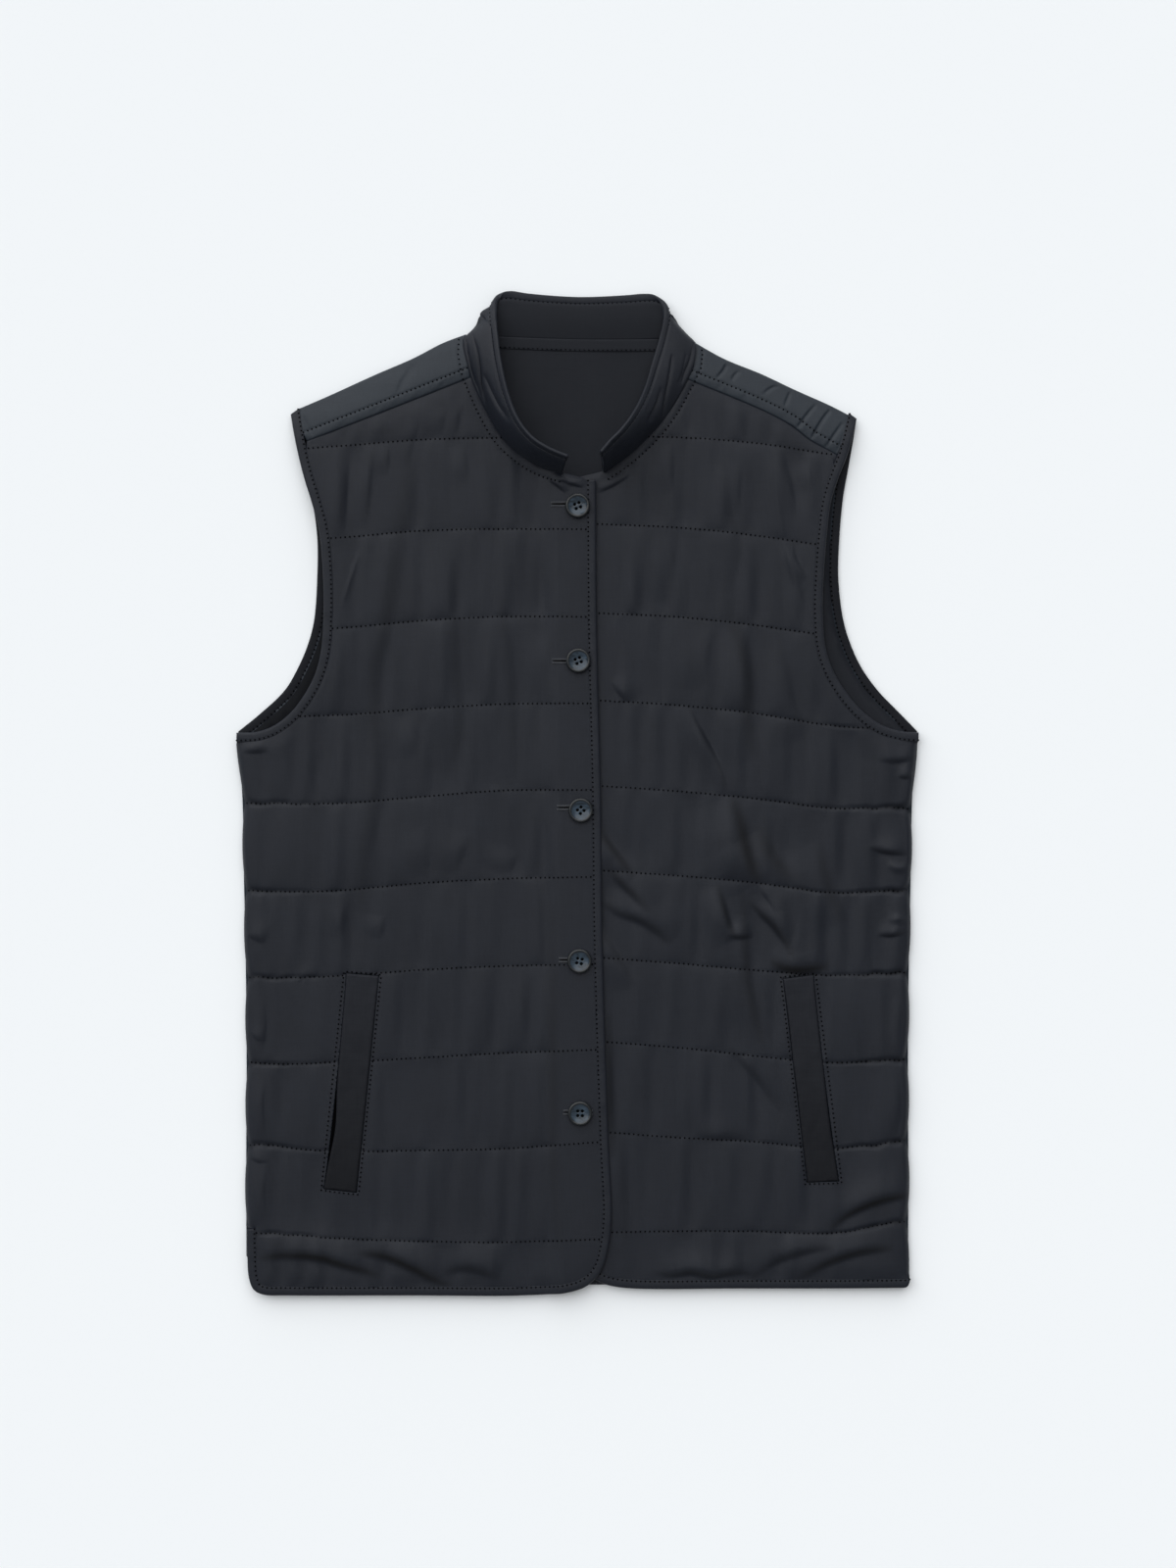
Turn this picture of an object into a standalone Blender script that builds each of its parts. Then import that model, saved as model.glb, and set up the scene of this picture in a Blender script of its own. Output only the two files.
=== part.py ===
"""Quilted, lightly padded vest with a stand collar, laid flat on its back and buttoned, in metres.

x runs across the vest with the wearer's right side at -x, y runs from the hem to the neck, z is up.
"""

import bmesh
import bpy
import numpy as np
from mathutils import Vector
from mathutils.geometry import delaunay_2d_cdt

# Walls and heights
GAP = 0.0003
BACK_WALL = 0.0034
LINING_WALL = 0.0010
FRONT_REST = BACK_WALL + LINING_WALL + 2 * GAP
EDGE_WALL = 0.0026
STITCH_WALL = 0.0018
CROWN_WALL = 0.0054
UNDERLAP_WALL = 0.0034
OVERLAP_WALL = 0.0036
EDGE_ROUND = 0.013
UNDERSIDE_ROUND = 0.010
UNDERSIDE_LIFT = 0.0014

# Bound edges
BINDING_WIDTH = 0.0066
BINDING_HEIGHT = 0.0034
BINDING_SPACING = 0.013
BACK_BINDING_REST = 0.0002

# The right front rises over the left one along this line
UNDER_EDGE_NECK_X = -0.0122
UNDER_EDGE_HEM_X = -0.0080
OVERLAP_RISE = UNDERLAP_WALL + 2 * GAP
OVERLAP_RAMP = 0.017
UNDER_EDGE_CLEARANCE = 0.0015
FLATTEN_WIDTH = 0.016
COVER_NECK_X = 0.0137
COVER_HEM_X = 0.0253
COVER_MARGIN = 0.0025
NECK_Y = 0.2300
HEM_Y = -0.3696

# Shoulder parts of the back, which roll over the shoulder line to the front
SHOULDER_WALL = 0.0036
SHOULDER_BULGE = 0.0015
SHOULDER_ROW = 0.010

# Collar
COLLAR_WALL = 0.0026
COLLAR_BINDING_WALL = 0.0034
COLLAR_BINDING_START = 0.88
COLLAR_BINDING_GAP = 0.0009
COLLAR_ROWS = 4
COLLAR_STEPS = 2

# Lining and neck tape, with their distances from the edges of the back
LINING_FROM_BINDING = 0.0010
LINING_FROM_FOLDS = 0.0025
LINING_FROM_NECK = 0.0020
TAPE_FROM_NECK = 0.0030
TAPE_HALF_LENGTH = 0.058
TAPE_WIDTH = 0.0066
TAPE_WALL = 0.0010

# Pocket welts
WELT_FLOOR = 0.0020
WELT_WALL = 0.0018
WELT_MARGIN = 0.0020
WELT_SLOPE = 0.0070

# Buttons: radius and height columns of the upper face, from the edge to the dish
BUTTON_FACE = [(0.0090, 0.0021), (0.0083, 0.0031), (0.0071, 0.0030), (0.0060, 0.0021)]
BUTTON_FOOT_RADIUS = 0.0078
BUTTON_EDGE_LIFT = 0.0007
BUTTON_HOLE_RADIUS = 0.0009
BUTTON_HOLE_SPREAD = 0.0027
BUTTON_SIDES = 20
BUTTON_HOLE_SIDES = 6

# Buttons from the neck down: x, y, turn of the holes in degrees
BUTTONS = [
    (0.0003, 0.2110, 52.0),
    (0.0008, 0.0969, 50.0),
    (0.0026, -0.0132, 47.0),
    (0.0017, -0.1242, 2.0),
    (0.0021, -0.2362, 3.0),
]

# Plan outlines. Columns: x, y. Each side seam gives the half width instead of x.
SIDE = [
    (0.2503, 0.0352),
    (0.2468, 0.0032),
    (0.2452, -0.0659),
    (0.2438, -0.1350),
    (0.2433, -0.2041),
    (0.2436, -0.2732),
    (0.2434, -0.3530),
]
RIGHT_ARMHOLE_FRONT = [
    (-0.2110, 0.2783),
    (-0.2063, 0.2545),
    (-0.2009, 0.2322),
    (-0.1951, 0.2135),
    (-0.1895, 0.1926),
    (-0.1868, 0.1656),
    (-0.1861, 0.1357),
    (-0.1878, 0.1053),
    (-0.1922, 0.0875),
    (-0.1994, 0.0731),
    (-0.2101, 0.0588),
    (-0.2227, 0.0490),
    (-0.2352, 0.0445),
    (-0.2480, 0.0436),
]
RIGHT_ARMHOLE_BACK = [
    (-0.2110, 0.2783),
    (-0.2081, 0.2610),
    (-0.2023, 0.2380),
    (-0.1951, 0.2135),
    (-0.1915, 0.1876),
    (-0.1915, 0.1573),
    (-0.1937, 0.1271),
    (-0.1980, 0.1098),
    (-0.2052, 0.0925),
    (-0.2153, 0.0752),
    (-0.2333, 0.0580),
    (-0.2490, 0.0440),
]
LEFT_ARMHOLE_FRONT = [
    (0.2480, 0.0437),
    (0.2388, 0.0448),
    (0.2245, 0.0490),
    (0.2102, 0.0588),
    (0.1976, 0.0731),
    (0.1878, 0.0892),
    (0.1824, 0.1053),
    (0.1801, 0.1321),
    (0.1815, 0.1692),
    (0.1833, 0.1907),
    (0.1860, 0.2122),
    (0.1922, 0.2319),
    (0.1985, 0.2480),
    (0.2052, 0.2725),
]
LEFT_ARMHOLE_BACK = [
    (0.2490, 0.0440),
    (0.2376, 0.0580),
    (0.2210, 0.0752),
    (0.2088, 0.0925),
    (0.2009, 0.1098),
    (0.1958, 0.1271),
    (0.1922, 0.1573),
    (0.1930, 0.1876),
    (0.1958, 0.2178),
    (0.1994, 0.2380),
    (0.2030, 0.2581),
    (0.2052, 0.2725),
]
RIGHT_SHOULDER_FOLD = [
    (-0.0848, 0.3330),
    (-0.0979, 0.3287),
    (-0.1202, 0.3172),
    (-0.1469, 0.3057),
    (-0.1850, 0.2884),
    (-0.2030, 0.2806),
]
LEFT_SHOULDER_FOLD = [
    (0.1975, 0.2762),
    (0.1852, 0.2826),
    (0.1592, 0.2942),
    (0.1348, 0.3057),
    (0.1068, 0.3172),
    (0.0895, 0.3268),
]
RIGHT_SHOULDER_SEAM = [(-0.0822, 0.3030), (-0.1404, 0.2801), (-0.1984, 0.2575)]
LEFT_SHOULDER_SEAM = [
    (0.1910, 0.2472),
    (0.1707, 0.2588),
    (0.1582, 0.2686),
    (0.1403, 0.2784),
    (0.1134, 0.2901),
    (0.0858, 0.3012),
]
RIGHT_FRONT_EDGE = [
    (-0.2428, -0.3208),
    (-0.2424, -0.3395),
    (-0.2412, -0.3568),
    (-0.2376, -0.3656),
    (-0.2304, -0.3691),
    (-0.2150, HEM_Y),
    (-0.1200, HEM_Y),
    (-0.0400, HEM_Y),
    (-0.0066, -0.3668),
    (0.0078, -0.3615),
    (0.0176, -0.3508),
    (0.0230, -0.3329),
    (0.0253, -0.3096),
    (0.0230, -0.2560),
    (0.0185, -0.1076),
    (0.0173, -0.0018),
    (0.0144, 0.1228),
    (0.0137, 0.2285),
]
LEFT_FRONT_EDGE = [
    (UNDER_EDGE_NECK_X, 0.2290),
    (-0.0100, -0.0700),
    (UNDER_EDGE_HEM_X, -0.3150),
    (-0.0045, -0.3370),
    (0.0060, -0.3530),
    (0.0180, -0.3605),
    (0.0340, -0.3640),
    (0.1200, -0.3645),
    (0.2400, -0.3640),
]
BACK_HEM = [(-0.2350, -0.3625), (0.2400, -0.3625)]
BACK_NECK = [
    (0.0842, 0.3280),
    (0.0801, 0.3328),
    (0.0440, 0.3319),
    (0.0007, 0.3319),
    (-0.0426, 0.3333),
    (-0.0766, 0.3350),
    (-0.0805, 0.3318),
]
RIGHT_FRONT_NECK_END = (0.0052, 0.2302)
LEFT_FRONT_NECK_END = (-0.0035, 0.2302)

# Collar sections from the right front end round the back to the left front end.
# Columns: seam x, y, z, then top edge x, y, z, all on the middle of the wall.
COLLAR = [
    (-0.0108, 0.2342, 0.0126, -0.0066, 0.2428, 0.0440),
    (-0.0250, 0.2391, 0.0098, -0.0200, 0.2486, 0.0425),
    (-0.0400, 0.2478, 0.0085, -0.0325, 0.2570, 0.0400),
    (-0.0535, 0.2600, 0.0085, -0.0430, 0.2712, 0.0360),
    (-0.0648, 0.2785, 0.0085, -0.0500, 0.2900, 0.0310),
    (-0.0755, 0.3024, 0.0087, -0.0550, 0.3130, 0.0255),
    (-0.0802, 0.3190, 0.0087, -0.0575, 0.3310, 0.0205),
    (-0.0822, 0.3322, 0.0058, -0.0592, 0.3500, 0.0140),
    (-0.0802, 0.3353, 0.0036, -0.0590, 0.3610, 0.0085),
    (-0.0740, 0.3360, 0.0024, -0.0560, 0.3668, 0.0050),
    (-0.0600, 0.3350, 0.0020, -0.0490, 0.3688, 0.0028),
    (-0.0426, 0.3343, 0.0018, -0.0354, 0.3670, 0.0021),
    (0.0007, 0.3329, 0.0018, 0.0007, 0.3645, 0.0021),
    (0.0440, 0.3329, 0.0018, 0.0354, 0.3658, 0.0021),
    (0.0620, 0.3336, 0.0020, 0.0490, 0.3668, 0.0028),
    (0.0750, 0.3345, 0.0024, 0.0570, 0.3655, 0.0050),
    (0.0818, 0.3338, 0.0030, 0.0622, 0.3600, 0.0075),
    (0.0856, 0.3286, 0.0062, 0.0632, 0.3480, 0.0110),
    (0.0840, 0.3150, 0.0087, 0.0600, 0.3325, 0.0145),
    (0.0786, 0.3022, 0.0087, 0.0548, 0.3145, 0.0190),
    (0.0680, 0.2830, 0.0085, 0.0486, 0.2935, 0.0255),
    (0.0580, 0.2690, 0.0085, 0.0403, 0.2752, 0.0330),
    (0.0440, 0.2545, 0.0085, 0.0310, 0.2618, 0.0395),
    (0.0310, 0.2438, 0.0085, 0.0240, 0.2545, 0.0415),
    (0.0190, 0.2357, 0.0085, 0.0171, 0.2462, 0.0420),
]
COLLAR_SHOULDER_ROWS = 6
NECK_SETBACK = 0.0012

# Quilt lines from the neck to the hem. Columns: y at the five places across, front edge first.
RIGHT_QUILT_X = (0.0115, -0.0533, -0.1145, -0.1793, -0.2441)
RIGHT_QUILT = [
    (0.2603, 0.2603, 0.2588, 0.2538, 0.2502),
    (0.1926, 0.1933, 0.1920, 0.1865, 0.1840),
    (0.1285, 0.1290, 0.1259, 0.1202, 0.1177),
    (0.0652, 0.0648, 0.0612, 0.0565, 0.0558),
    (0.0018, 0.0014, -0.0032, -0.0083, -0.0079),
    (-0.0619, -0.0634, -0.0666, -0.0724, -0.0720),
    (-0.1260, -0.1274, -0.1303, -0.1350, -0.1368),
    (-0.1887, -0.1912, -0.1948, -0.1982, -0.1994),
    (-0.2564, -0.2614, -0.2628, -0.2632, -0.2581),
    (-0.3275, -0.3301, -0.3294, -0.3269, -0.3218),
]
LEFT_QUILT_X = (0.0173, 0.0727, 0.1303, 0.1879, 0.2441)
LEFT_QUILT = [
    (0.2610, 0.2606, 0.2565, 0.2480, 0.2437),
    (0.1969, 0.1944, 0.1887, 0.1804, 0.1775),
    (0.1314, 0.1288, 0.1228, 0.1148, 0.1120),
    (0.0673, 0.0640, 0.0580, 0.0490, 0.0464),
    (0.0047, 0.0009, -0.0045, -0.0115, -0.0112),
    (-0.0572, -0.0611, -0.0662, -0.0734, -0.0713),
    (-0.1213, -0.1254, -0.1305, -0.1344, -0.1321),
    (-0.1830, -0.1872, -0.1933, -0.1986, -0.1955),
    (-0.2491, -0.2533, -0.2565, -0.2610, -0.2565),
    (-0.3231, -0.3221, -0.3222, -0.3235, -0.3139),
]
CHANNEL = 0.0650
CHANNEL_PLACES = (0.0, 0.14, 0.5, 0.86)
ROW_SPACING = 0.024
ROW_CLEARANCE = 0.008

# The largest folds of each front, from top to bottom. Columns: x, y.
FOLD_HALF_WIDTH = 0.009
FOLD_DEPTH = 0.0020
RIGHT_FOLDS = [
    [(-0.1260, 0.2540), (-0.1320, 0.2013), (-0.1440, 0.1220), (-0.1512, 0.0572), (-0.1600, -0.0990)],
    [(-0.0907, 0.1890), (-0.0943, 0.1350), (-0.0914, 0.0430), (-0.0986, 0.0120)],
]
LEFT_FOLDS = [
    [(0.1066, 0.2400), (0.1152, 0.1782), (0.1080, 0.1232), (0.1209, 0.0875), (0.1224, 0.0220)],
    [(0.1188, -0.0100), (0.1267, -0.0219), (0.1245, -0.0470), (0.1300, -0.0610)],
]

# Pocket welts. Columns: x, y of the corners, against the clock.
RIGHT_WELT = [(-0.1860, -0.2910), (-0.1620, -0.2938), (-0.1457, -0.1348), (-0.1695, -0.1328)]
LEFT_WELT = [(0.1690, -0.2863), (0.1922, -0.2854), (0.1734, -0.1341), (0.1511, -0.1368)]


def curve(points, steps):
    """Smooth run through the points, with this many steps from one to the next."""
    knots = np.asarray(points, float)
    knots = np.vstack([2 * knots[0] - knots[1], knots, 2 * knots[-1] - knots[-2]])
    run = []
    for a, b, c, d in zip(knots, knots[1:], knots[2:], knots[3:]):
        tb = np.linalg.norm(b - a) ** 0.5
        tc = tb + np.linalg.norm(c - b) ** 0.5
        td = tc + np.linalg.norm(d - c) ** 0.5
        for t in np.linspace(tb, tc, steps, endpoint=False):
            ab = ((tb - t) * a + t * b) / tb
            bc = ((tc - t) * b + (t - tb) * c) / (tc - tb)
            cd = ((td - t) * c + (t - tc) * d) / (td - tc)
            abc = ((tc - t) * ab + t * bc) / tc
            bcd = ((td - t) * bc + (t - tb) * cd) / (td - tb)
            run.append(((tc - t) * abc + (t - tb) * bcd) / (tc - tb))
    run.append(knots[-2])
    return np.array(run)


def respaced(run, spacing):
    """The run with its points at even distances of about the spacing."""
    steps = np.linalg.norm(np.diff(run, axis=0), axis=1)
    along = np.concatenate([[0.0], np.cumsum(steps)])
    count = max(2, round(along[-1] / spacing) + 1)
    even = np.linspace(0.0, along[-1], count)
    return np.column_stack([np.interp(even, along, column) for column in run.T])


def smooth_run(points, spacing):
    return respaced(curve(points, 12), spacing)


def left_of(run):
    """Unit plan directions to the left of travel at each point of an open run."""
    along = np.gradient(run, axis=0)
    side = np.column_stack([-along[:, 1], along[:, 0]])
    return side / np.linalg.norm(side, axis=1, keepdims=True)


def moved_left(run, distance):
    return run + left_of(run) * distance


def distance_to(points, run):
    """Plan distance from each point to an open run."""
    nearest = np.full(len(points), np.inf)
    for a, b in zip(run, run[1:]):
        ab = b - a
        t = np.clip((points - a) @ ab / (ab @ ab), 0.0, 1.0)
        nearest = np.minimum(nearest, np.linalg.norm(points - a - t[:, None] * ab, axis=1))
    return nearest


def is_inside(points, loop):
    """Which points lie inside a closed plan loop."""
    inside = np.zeros(len(points), bool)
    for (ax, ay), (bx, by) in zip(loop, np.roll(loop, -1, axis=0)):
        spans = (ay > points[:, 1]) != (by > points[:, 1])
        if not spans.any():
            continue
        crossing = ax + (points[:, 1] - ay) * (bx - ax) / (by - ay)
        inside ^= spans & (points[:, 0] < crossing)
    return inside


def ease(value):
    """Smooth step from 0 to 1."""
    t = np.clip(value, 0.0, 1.0)
    return t * t * (3.0 - 2.0 * t)


def triangles(loops, rows):
    """Plan points and triangles between the loops (outline first, then holes), with rows as creases.

    The points of the loops come first and in their order.
    """
    points = []
    edges = []
    for loop in loops:
        first = len(points)
        points.extend(loop)
        edges.extend((first + i, first + (i + 1) % len(loop)) for i in range(len(loop)))
    fixed = len(points)
    for row in rows:
        first = len(points)
        points.extend(row)
        edges.extend((first + i, first + i + 1) for i in range(len(row) - 1))
    found, _, faces, origins, _, _ = delaunay_2d_cdt([Vector(p) for p in points], edges, [], 1, 1e-7)
    place = {}
    ordered = [tuple(p) for p in points[:fixed]]
    for number, (point, origin) in enumerate(zip(found, origins)):
        if origin and min(origin) < fixed:
            place[number] = min(origin)
        else:
            place[number] = len(ordered)
            ordered.append(tuple(point))
    ordered = np.array(ordered)
    kept = []
    for face in faces:
        a, b, c = (place[i] for i in face)
        middle = (ordered[a] + ordered[b] + ordered[c])[None, :] / 3.0
        if any(is_inside(middle, np.asarray(hole))[0] for hole in loops[1:]):
            continue
        (abx, aby), (acx, acy) = ordered[b] - ordered[a], ordered[c] - ordered[a]
        kept.append((a, b, c) if abx * acy > aby * acx else (a, c, b))
    return ordered, kept


def sheet(outline, low, high, low_rows=(), high_rows=(), holes=(), open_edges=()):
    """Vertices and faces of a wall between two heights over a plan outline given against the clock.

    Also returned: where the upper points start. Outline edges in open_edges get no side face.
    """
    loops = [np.asarray(loop) for loop in (outline, *holes)]
    below, below_faces = triangles(loops, low_rows)
    above, above_faces = triangles(loops, high_rows)
    start = len(below)
    vertices = np.vstack([np.column_stack([below, low(below)]), np.column_stack([above, high(above)])])
    faces = [(a, c, b) for a, b, c in below_faces]
    faces += [(start + a, start + b, start + c) for a, b, c in above_faces]
    first = 0
    for loop in loops:
        for i in range(len(loop)):
            a, b = first + i, first + (i + 1) % len(loop)
            if first > 0:
                a, b = b, a
            if a not in open_edges:
                faces.append((a, b, start + b, start + a))
        first += len(loop)
    return vertices, faces, start


def grid_wall(middle, wall):
    """Vertices and faces of a wall of even thickness about a grid of points (sections by rows)."""
    along = np.gradient(middle, axis=0)
    up = np.gradient(middle, axis=1)
    normal = np.cross(along, up)
    normal /= np.linalg.norm(normal, axis=2, keepdims=True)
    sections, rows = middle.shape[:2]
    count = sections * rows
    vertices = np.vstack([(middle + side * normal * wall / 2).reshape(-1, 3) for side in (1, -1)])
    faces = []
    for i in range(sections - 1):
        for j in range(rows - 1):
            a = i * rows + j
            b, c, d = a + rows, a + rows + 1, a + 1
            faces.append((a, b, c, d))
            faces.append((count + a, count + d, count + c, count + b))
    for i in range(sections - 1):
        a, b = i * rows, (i + 1) * rows
        faces.append((a, count + a, count + b, b))
        a, b = a + rows - 1, b + rows - 1
        faces.append((a, b, count + b, count + a))
    last = (sections - 1) * rows
    for j in range(rows - 1):
        faces.append((j, j + 1, count + j + 1, count + j))
        faces.append((last + j, count + last + j, count + last + j + 1, last + j + 1))
    return vertices, faces


def strip(finished, bottom, width, height):
    """Vertices and faces of a folded edge strip along a finished edge that has its panel on the left."""
    section = [(0.0, 0.22), (0.0, 0.78), (0.16, 1.0), (1.0, 1.0), (1.0, 0.0), (0.16, 0.0)]
    inward = left_of(finished)
    sides = len(section)
    rings = [
        np.column_stack([finished + inward * width * across, bottom + height * up])
        for across, up in section
    ]
    vertices = np.stack(rings, axis=1).reshape(-1, 3)
    faces = []
    for i in range(len(finished) - 1):
        for j in range(sides):
            k = (j + 1) % sides
            faces.append((i * sides + k, i * sides + j, (i + 1) * sides + j, (i + 1) * sides + k))
    last = (len(finished) - 1) * sides
    faces.append(tuple(range(sides)))
    faces.append(tuple(last + j for j in reversed(range(sides))))
    return vertices, faces


def add(name, vertices, faces, cloth):
    """A named object from one closed skin, with its faces turned outwards."""
    mesh = bpy.data.meshes.new(name)
    mesh.from_pydata([tuple(v) for v in vertices], [], faces)
    skin = bmesh.new()
    skin.from_mesh(mesh)
    bmesh.ops.recalc_face_normals(skin, faces=skin.faces[:])
    skin.to_mesh(mesh)
    skin.free()
    mesh.materials.append(cloth)
    bpy.context.scene.collection.objects.link(bpy.data.objects.new(name, mesh))


def material(name, colour, roughness):
    made = bpy.data.materials.new(name)
    made.use_nodes = True
    shader = made.node_tree.nodes["Principled BSDF"]
    shader.inputs["Base Color"].default_value = (*colour, 1.0)
    shader.inputs["Roughness"].default_value = roughness
    shader.inputs["Metallic"].default_value = 0.0
    return made


def level(height):
    """A flat height."""
    return lambda points: np.full(len(points), height)


def closed(loop):
    return np.vstack([loop, loop[:1]])


def side_run(sign, upwards):
    run = smooth_run(SIDE, 0.022) * (sign, 1.0)
    return run[::-1] if upwards else run


def neck_run(rows):
    """Front neck edge beside the collar seam, from the first of these collar sections to the last."""
    return smooth_run([row[:2] for row in rows], 0.011)


def under_edge_x(y):
    """Where the hidden front edge of the left front lies."""
    return UNDER_EDGE_HEM_X + (UNDER_EDGE_NECK_X - UNDER_EDGE_HEM_X) * (y - HEM_Y) / (NECK_Y - HEM_Y)


def right_rest(points):
    """Height of the underside of the right front: it climbs onto the left front along its hidden edge."""
    ahead = points[:, 0] - under_edge_x(points[:, 1]) + UNDER_EDGE_CLEARANCE + OVERLAP_RAMP
    return FRONT_REST + OVERLAP_RISE * np.clip(ahead / OVERLAP_RAMP, 0.0, 1.0)


def quilt_levels(places, rows):
    """Fine x places and the quilt lines at them, with one more line past each end."""
    order = np.argsort(places)
    x = np.linspace(min(places) - 0.012, max(places) + 0.012, 280)
    lines = []
    for row in rows:
        line = curve(np.column_stack([places, row])[order], 8)
        lines.append(np.interp(x, line[:, 0], line[:, 1]))
    return x, np.array([lines[0] + CHANNEL, *lines, lines[-1] - CHANNEL])


def fold_x(fold, y):
    run = curve(fold, 6)[::-1]
    return np.interp(y, run[:, 1], run[:, 0], left=np.nan, right=np.nan)


def front_wall(points, outline, quilt, folds, welt, flat_from, flat_wall):
    """Thickness of a quilted front: pinched at the quilt lines, thinner at its edges, folds and welt."""
    x, lines = quilt
    heights = np.array([np.interp(points[:, 0], x, line) for line in lines])
    above = np.clip((heights > points[:, 1]).sum(axis=0), 1, len(lines) - 1)
    each = np.arange(len(points))
    upper, lower = heights[above - 1, each], heights[above, each]
    place = np.clip((upper - points[:, 1]) / (upper - lower), 0.0, 1.0)
    wall = STITCH_WALL + (CROWN_WALL - STITCH_WALL) * np.sin(np.pi * place) ** 0.7
    for fold in folds:
        away = np.nan_to_num(points[:, 0] - fold_x(fold, points[:, 1]), nan=1.0)
        trough = np.clip(1.0 - np.abs(away) / FOLD_HALF_WIDTH, 0.0, 1.0)
        wall = np.maximum(wall - FOLD_DEPTH * trough * np.sin(np.pi * place), STITCH_WALL)
    flat = ease(flat_from(points) / FLATTEN_WIDTH)
    wall = wall + (np.minimum(wall, flat_wall) - wall) * flat
    edge = distance_to(points, closed(outline))
    wall = EDGE_WALL + (wall - EDGE_WALL) * np.sin(np.pi / 2 * np.clip(edge / EDGE_ROUND, 0.0, 1.0))
    past = np.where(is_inside(points, welt), 0.0, distance_to(points, closed(welt)))
    return WELT_FLOOR + (wall - WELT_FLOOR) * ease((past - 1.05 * WELT_MARGIN) / WELT_SLOPE)


def grown(corners, margin):
    """A four-cornered plan loop grown by a margin, with its long sides divided."""
    corners = np.asarray(corners)
    out = []
    for i in range(4):
        a, b = corners[i], corners[(i + 1) % 4]
        before = corners[i - 1]
        along = (b - a) / np.linalg.norm(b - a)
        back = (a - before) / np.linalg.norm(a - before)
        corner = a + margin * (back - along)
        out.append(corner)
    out = np.array(out)
    loop = []
    for i in range(4):
        a, b = out[i], out[(i + 1) % 4]
        parts = 6 if i % 2 else 1
        loop.extend(a + (b - a) * k / parts for k in range(parts))
    return np.array(loop)


def quilt_rows(outline, quilt, folds, welt):
    """Runs of points along each quilt line and along the channels between them."""
    x, lines = quilt
    keep_out = grown(welt, WELT_MARGIN + WELT_SLOPE + 0.004)
    rows = []
    for upper, lower in zip(lines, lines[1:]):
        for place in CHANNEL_PLACES:
            points = np.column_stack([x, upper + (lower - upper) * place])
            good = is_inside(points, outline) & (distance_to(points, closed(outline)) > ROW_CLEARANCE)
            good &= ~is_inside(points, keep_out)
            breaks = np.flatnonzero(np.diff(good.astype(int)))
            for part in np.split(np.arange(len(x)), breaks + 1):
                if not good[part[0]] or len(part) < 5:
                    continue
                run = points[part]
                picks = respaced(run, ROW_SPACING)[:, 0]
                for fold in folds:
                    away = run[:, 0] - fold_x(fold, run[:, 1])
                    if np.isnan(away).all() or np.nanmin(away) > -0.012 or np.nanmax(away) < 0.012:
                        continue
                    bottom = run[np.nanargmin(np.abs(away)), 0]
                    picks = picks[np.abs(picks - bottom) > 1.5 * FOLD_HALF_WIDTH]
                    trough = bottom + FOLD_HALF_WIDTH * np.array([-1.0, 0.0, 1.0])
                    picks = np.sort(np.append(picks, trough))
                picks = picks[(picks >= run[0, 0]) & (picks <= run[-1, 0])]
                rows.append(np.column_stack([picks, np.interp(picks, run[:, 0], run[:, 1])]))
    return rows


def welt_rows(welt):
    return [closed(grown(welt, margin)) for margin in (WELT_MARGIN, WELT_MARGIN + WELT_SLOPE)]


def ramp_rows():
    """The two lines between which the right front climbs onto the left one."""
    y = np.linspace(HEM_Y + 0.016, NECK_Y - 0.005, 12)
    x = under_edge_x(y) - UNDER_EDGE_CLEARANCE
    return [np.column_stack([x - back, y]) for back in (0.0, OVERLAP_RAMP)]


def inset_rows(outline, distance):
    """Runs of points inside an outline at an even distance from it."""
    along = np.roll(outline, -1, axis=0) - np.roll(outline, 1, axis=0)
    inward = np.column_stack([-along[:, 1], along[:, 0]])
    points = outline + distance * inward / np.linalg.norm(inward, axis=1, keepdims=True)
    good = is_inside(points, outline) & (distance_to(points, closed(outline)) > 0.96 * distance)
    rows = []
    for part in np.split(np.arange(len(points)), np.flatnonzero(np.diff(good.astype(int))) + 1):
        if good[part[0]] and len(part) > 1:
            rows.append(points[part])
    return rows


def rolled_back(body, flaps):
    """The back with its shoulder parts, each joined to it along a rolled shoulder line.

    body and each flap are (outline, low, high, low rows, high rows); a flap adds the first places of the
    shoulder line in both outlines and its number of points.
    """
    body_open = set()
    for *_, on_body, on_flap, count in flaps:
        body_open.update(range(on_body, on_body + count - 1))
    vertices, faces, top = sheet(*body, open_edges=body_open)
    for outline, low, high, low_rows, high_rows, on_body, on_flap, count in flaps:
        flap_open = set(range(on_flap, on_flap + count - 1))
        more, more_faces, more_top = sheet(outline, low, high, low_rows, high_rows, open_edges=flap_open)
        first = len(vertices)
        run = outline[on_flap : on_flap + count]
        outer = np.column_stack([
            moved_left(run, -SHOULDER_BULGE),
            (vertices[on_body : on_body + count, 2] + more[more_top + on_flap :][:count, 2]) / 2,
        ])
        bulge = first + len(more)
        vertices = np.vstack([vertices, more, outer])
        faces += [tuple(first + i for i in face) for face in more_faces]
        under = on_body
        inside_low = top + on_body
        inside_high = first + on_flap
        over = first + more_top + on_flap
        for i in range(count - 1):
            j = i + 1
            faces.append((under + i, under + j, bulge + j, bulge + i))
            faces.append((bulge + i, bulge + j, over + j, over + i))
            faces.append((inside_low + j, inside_low + i, inside_high + i, inside_high + j))
        for i in (0, count - 1):
            column = [under + i, inside_low + i, inside_high + i, over + i]
            for a, b in zip(column, column[1:]):
                faces.append((a, b, bulge + i) if i else (b, a, bulge + i))
    return vertices, faces


for old in list(bpy.data.objects):
    bpy.data.objects.remove(old)

SHELL = material("shell_cloth", (0.028, 0.031, 0.038), 0.62)
LINING = material("lining_cloth", (0.019, 0.021, 0.026), 0.70)
BUTTON = material("button_resin", (0.045, 0.056, 0.068), 0.32)

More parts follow.
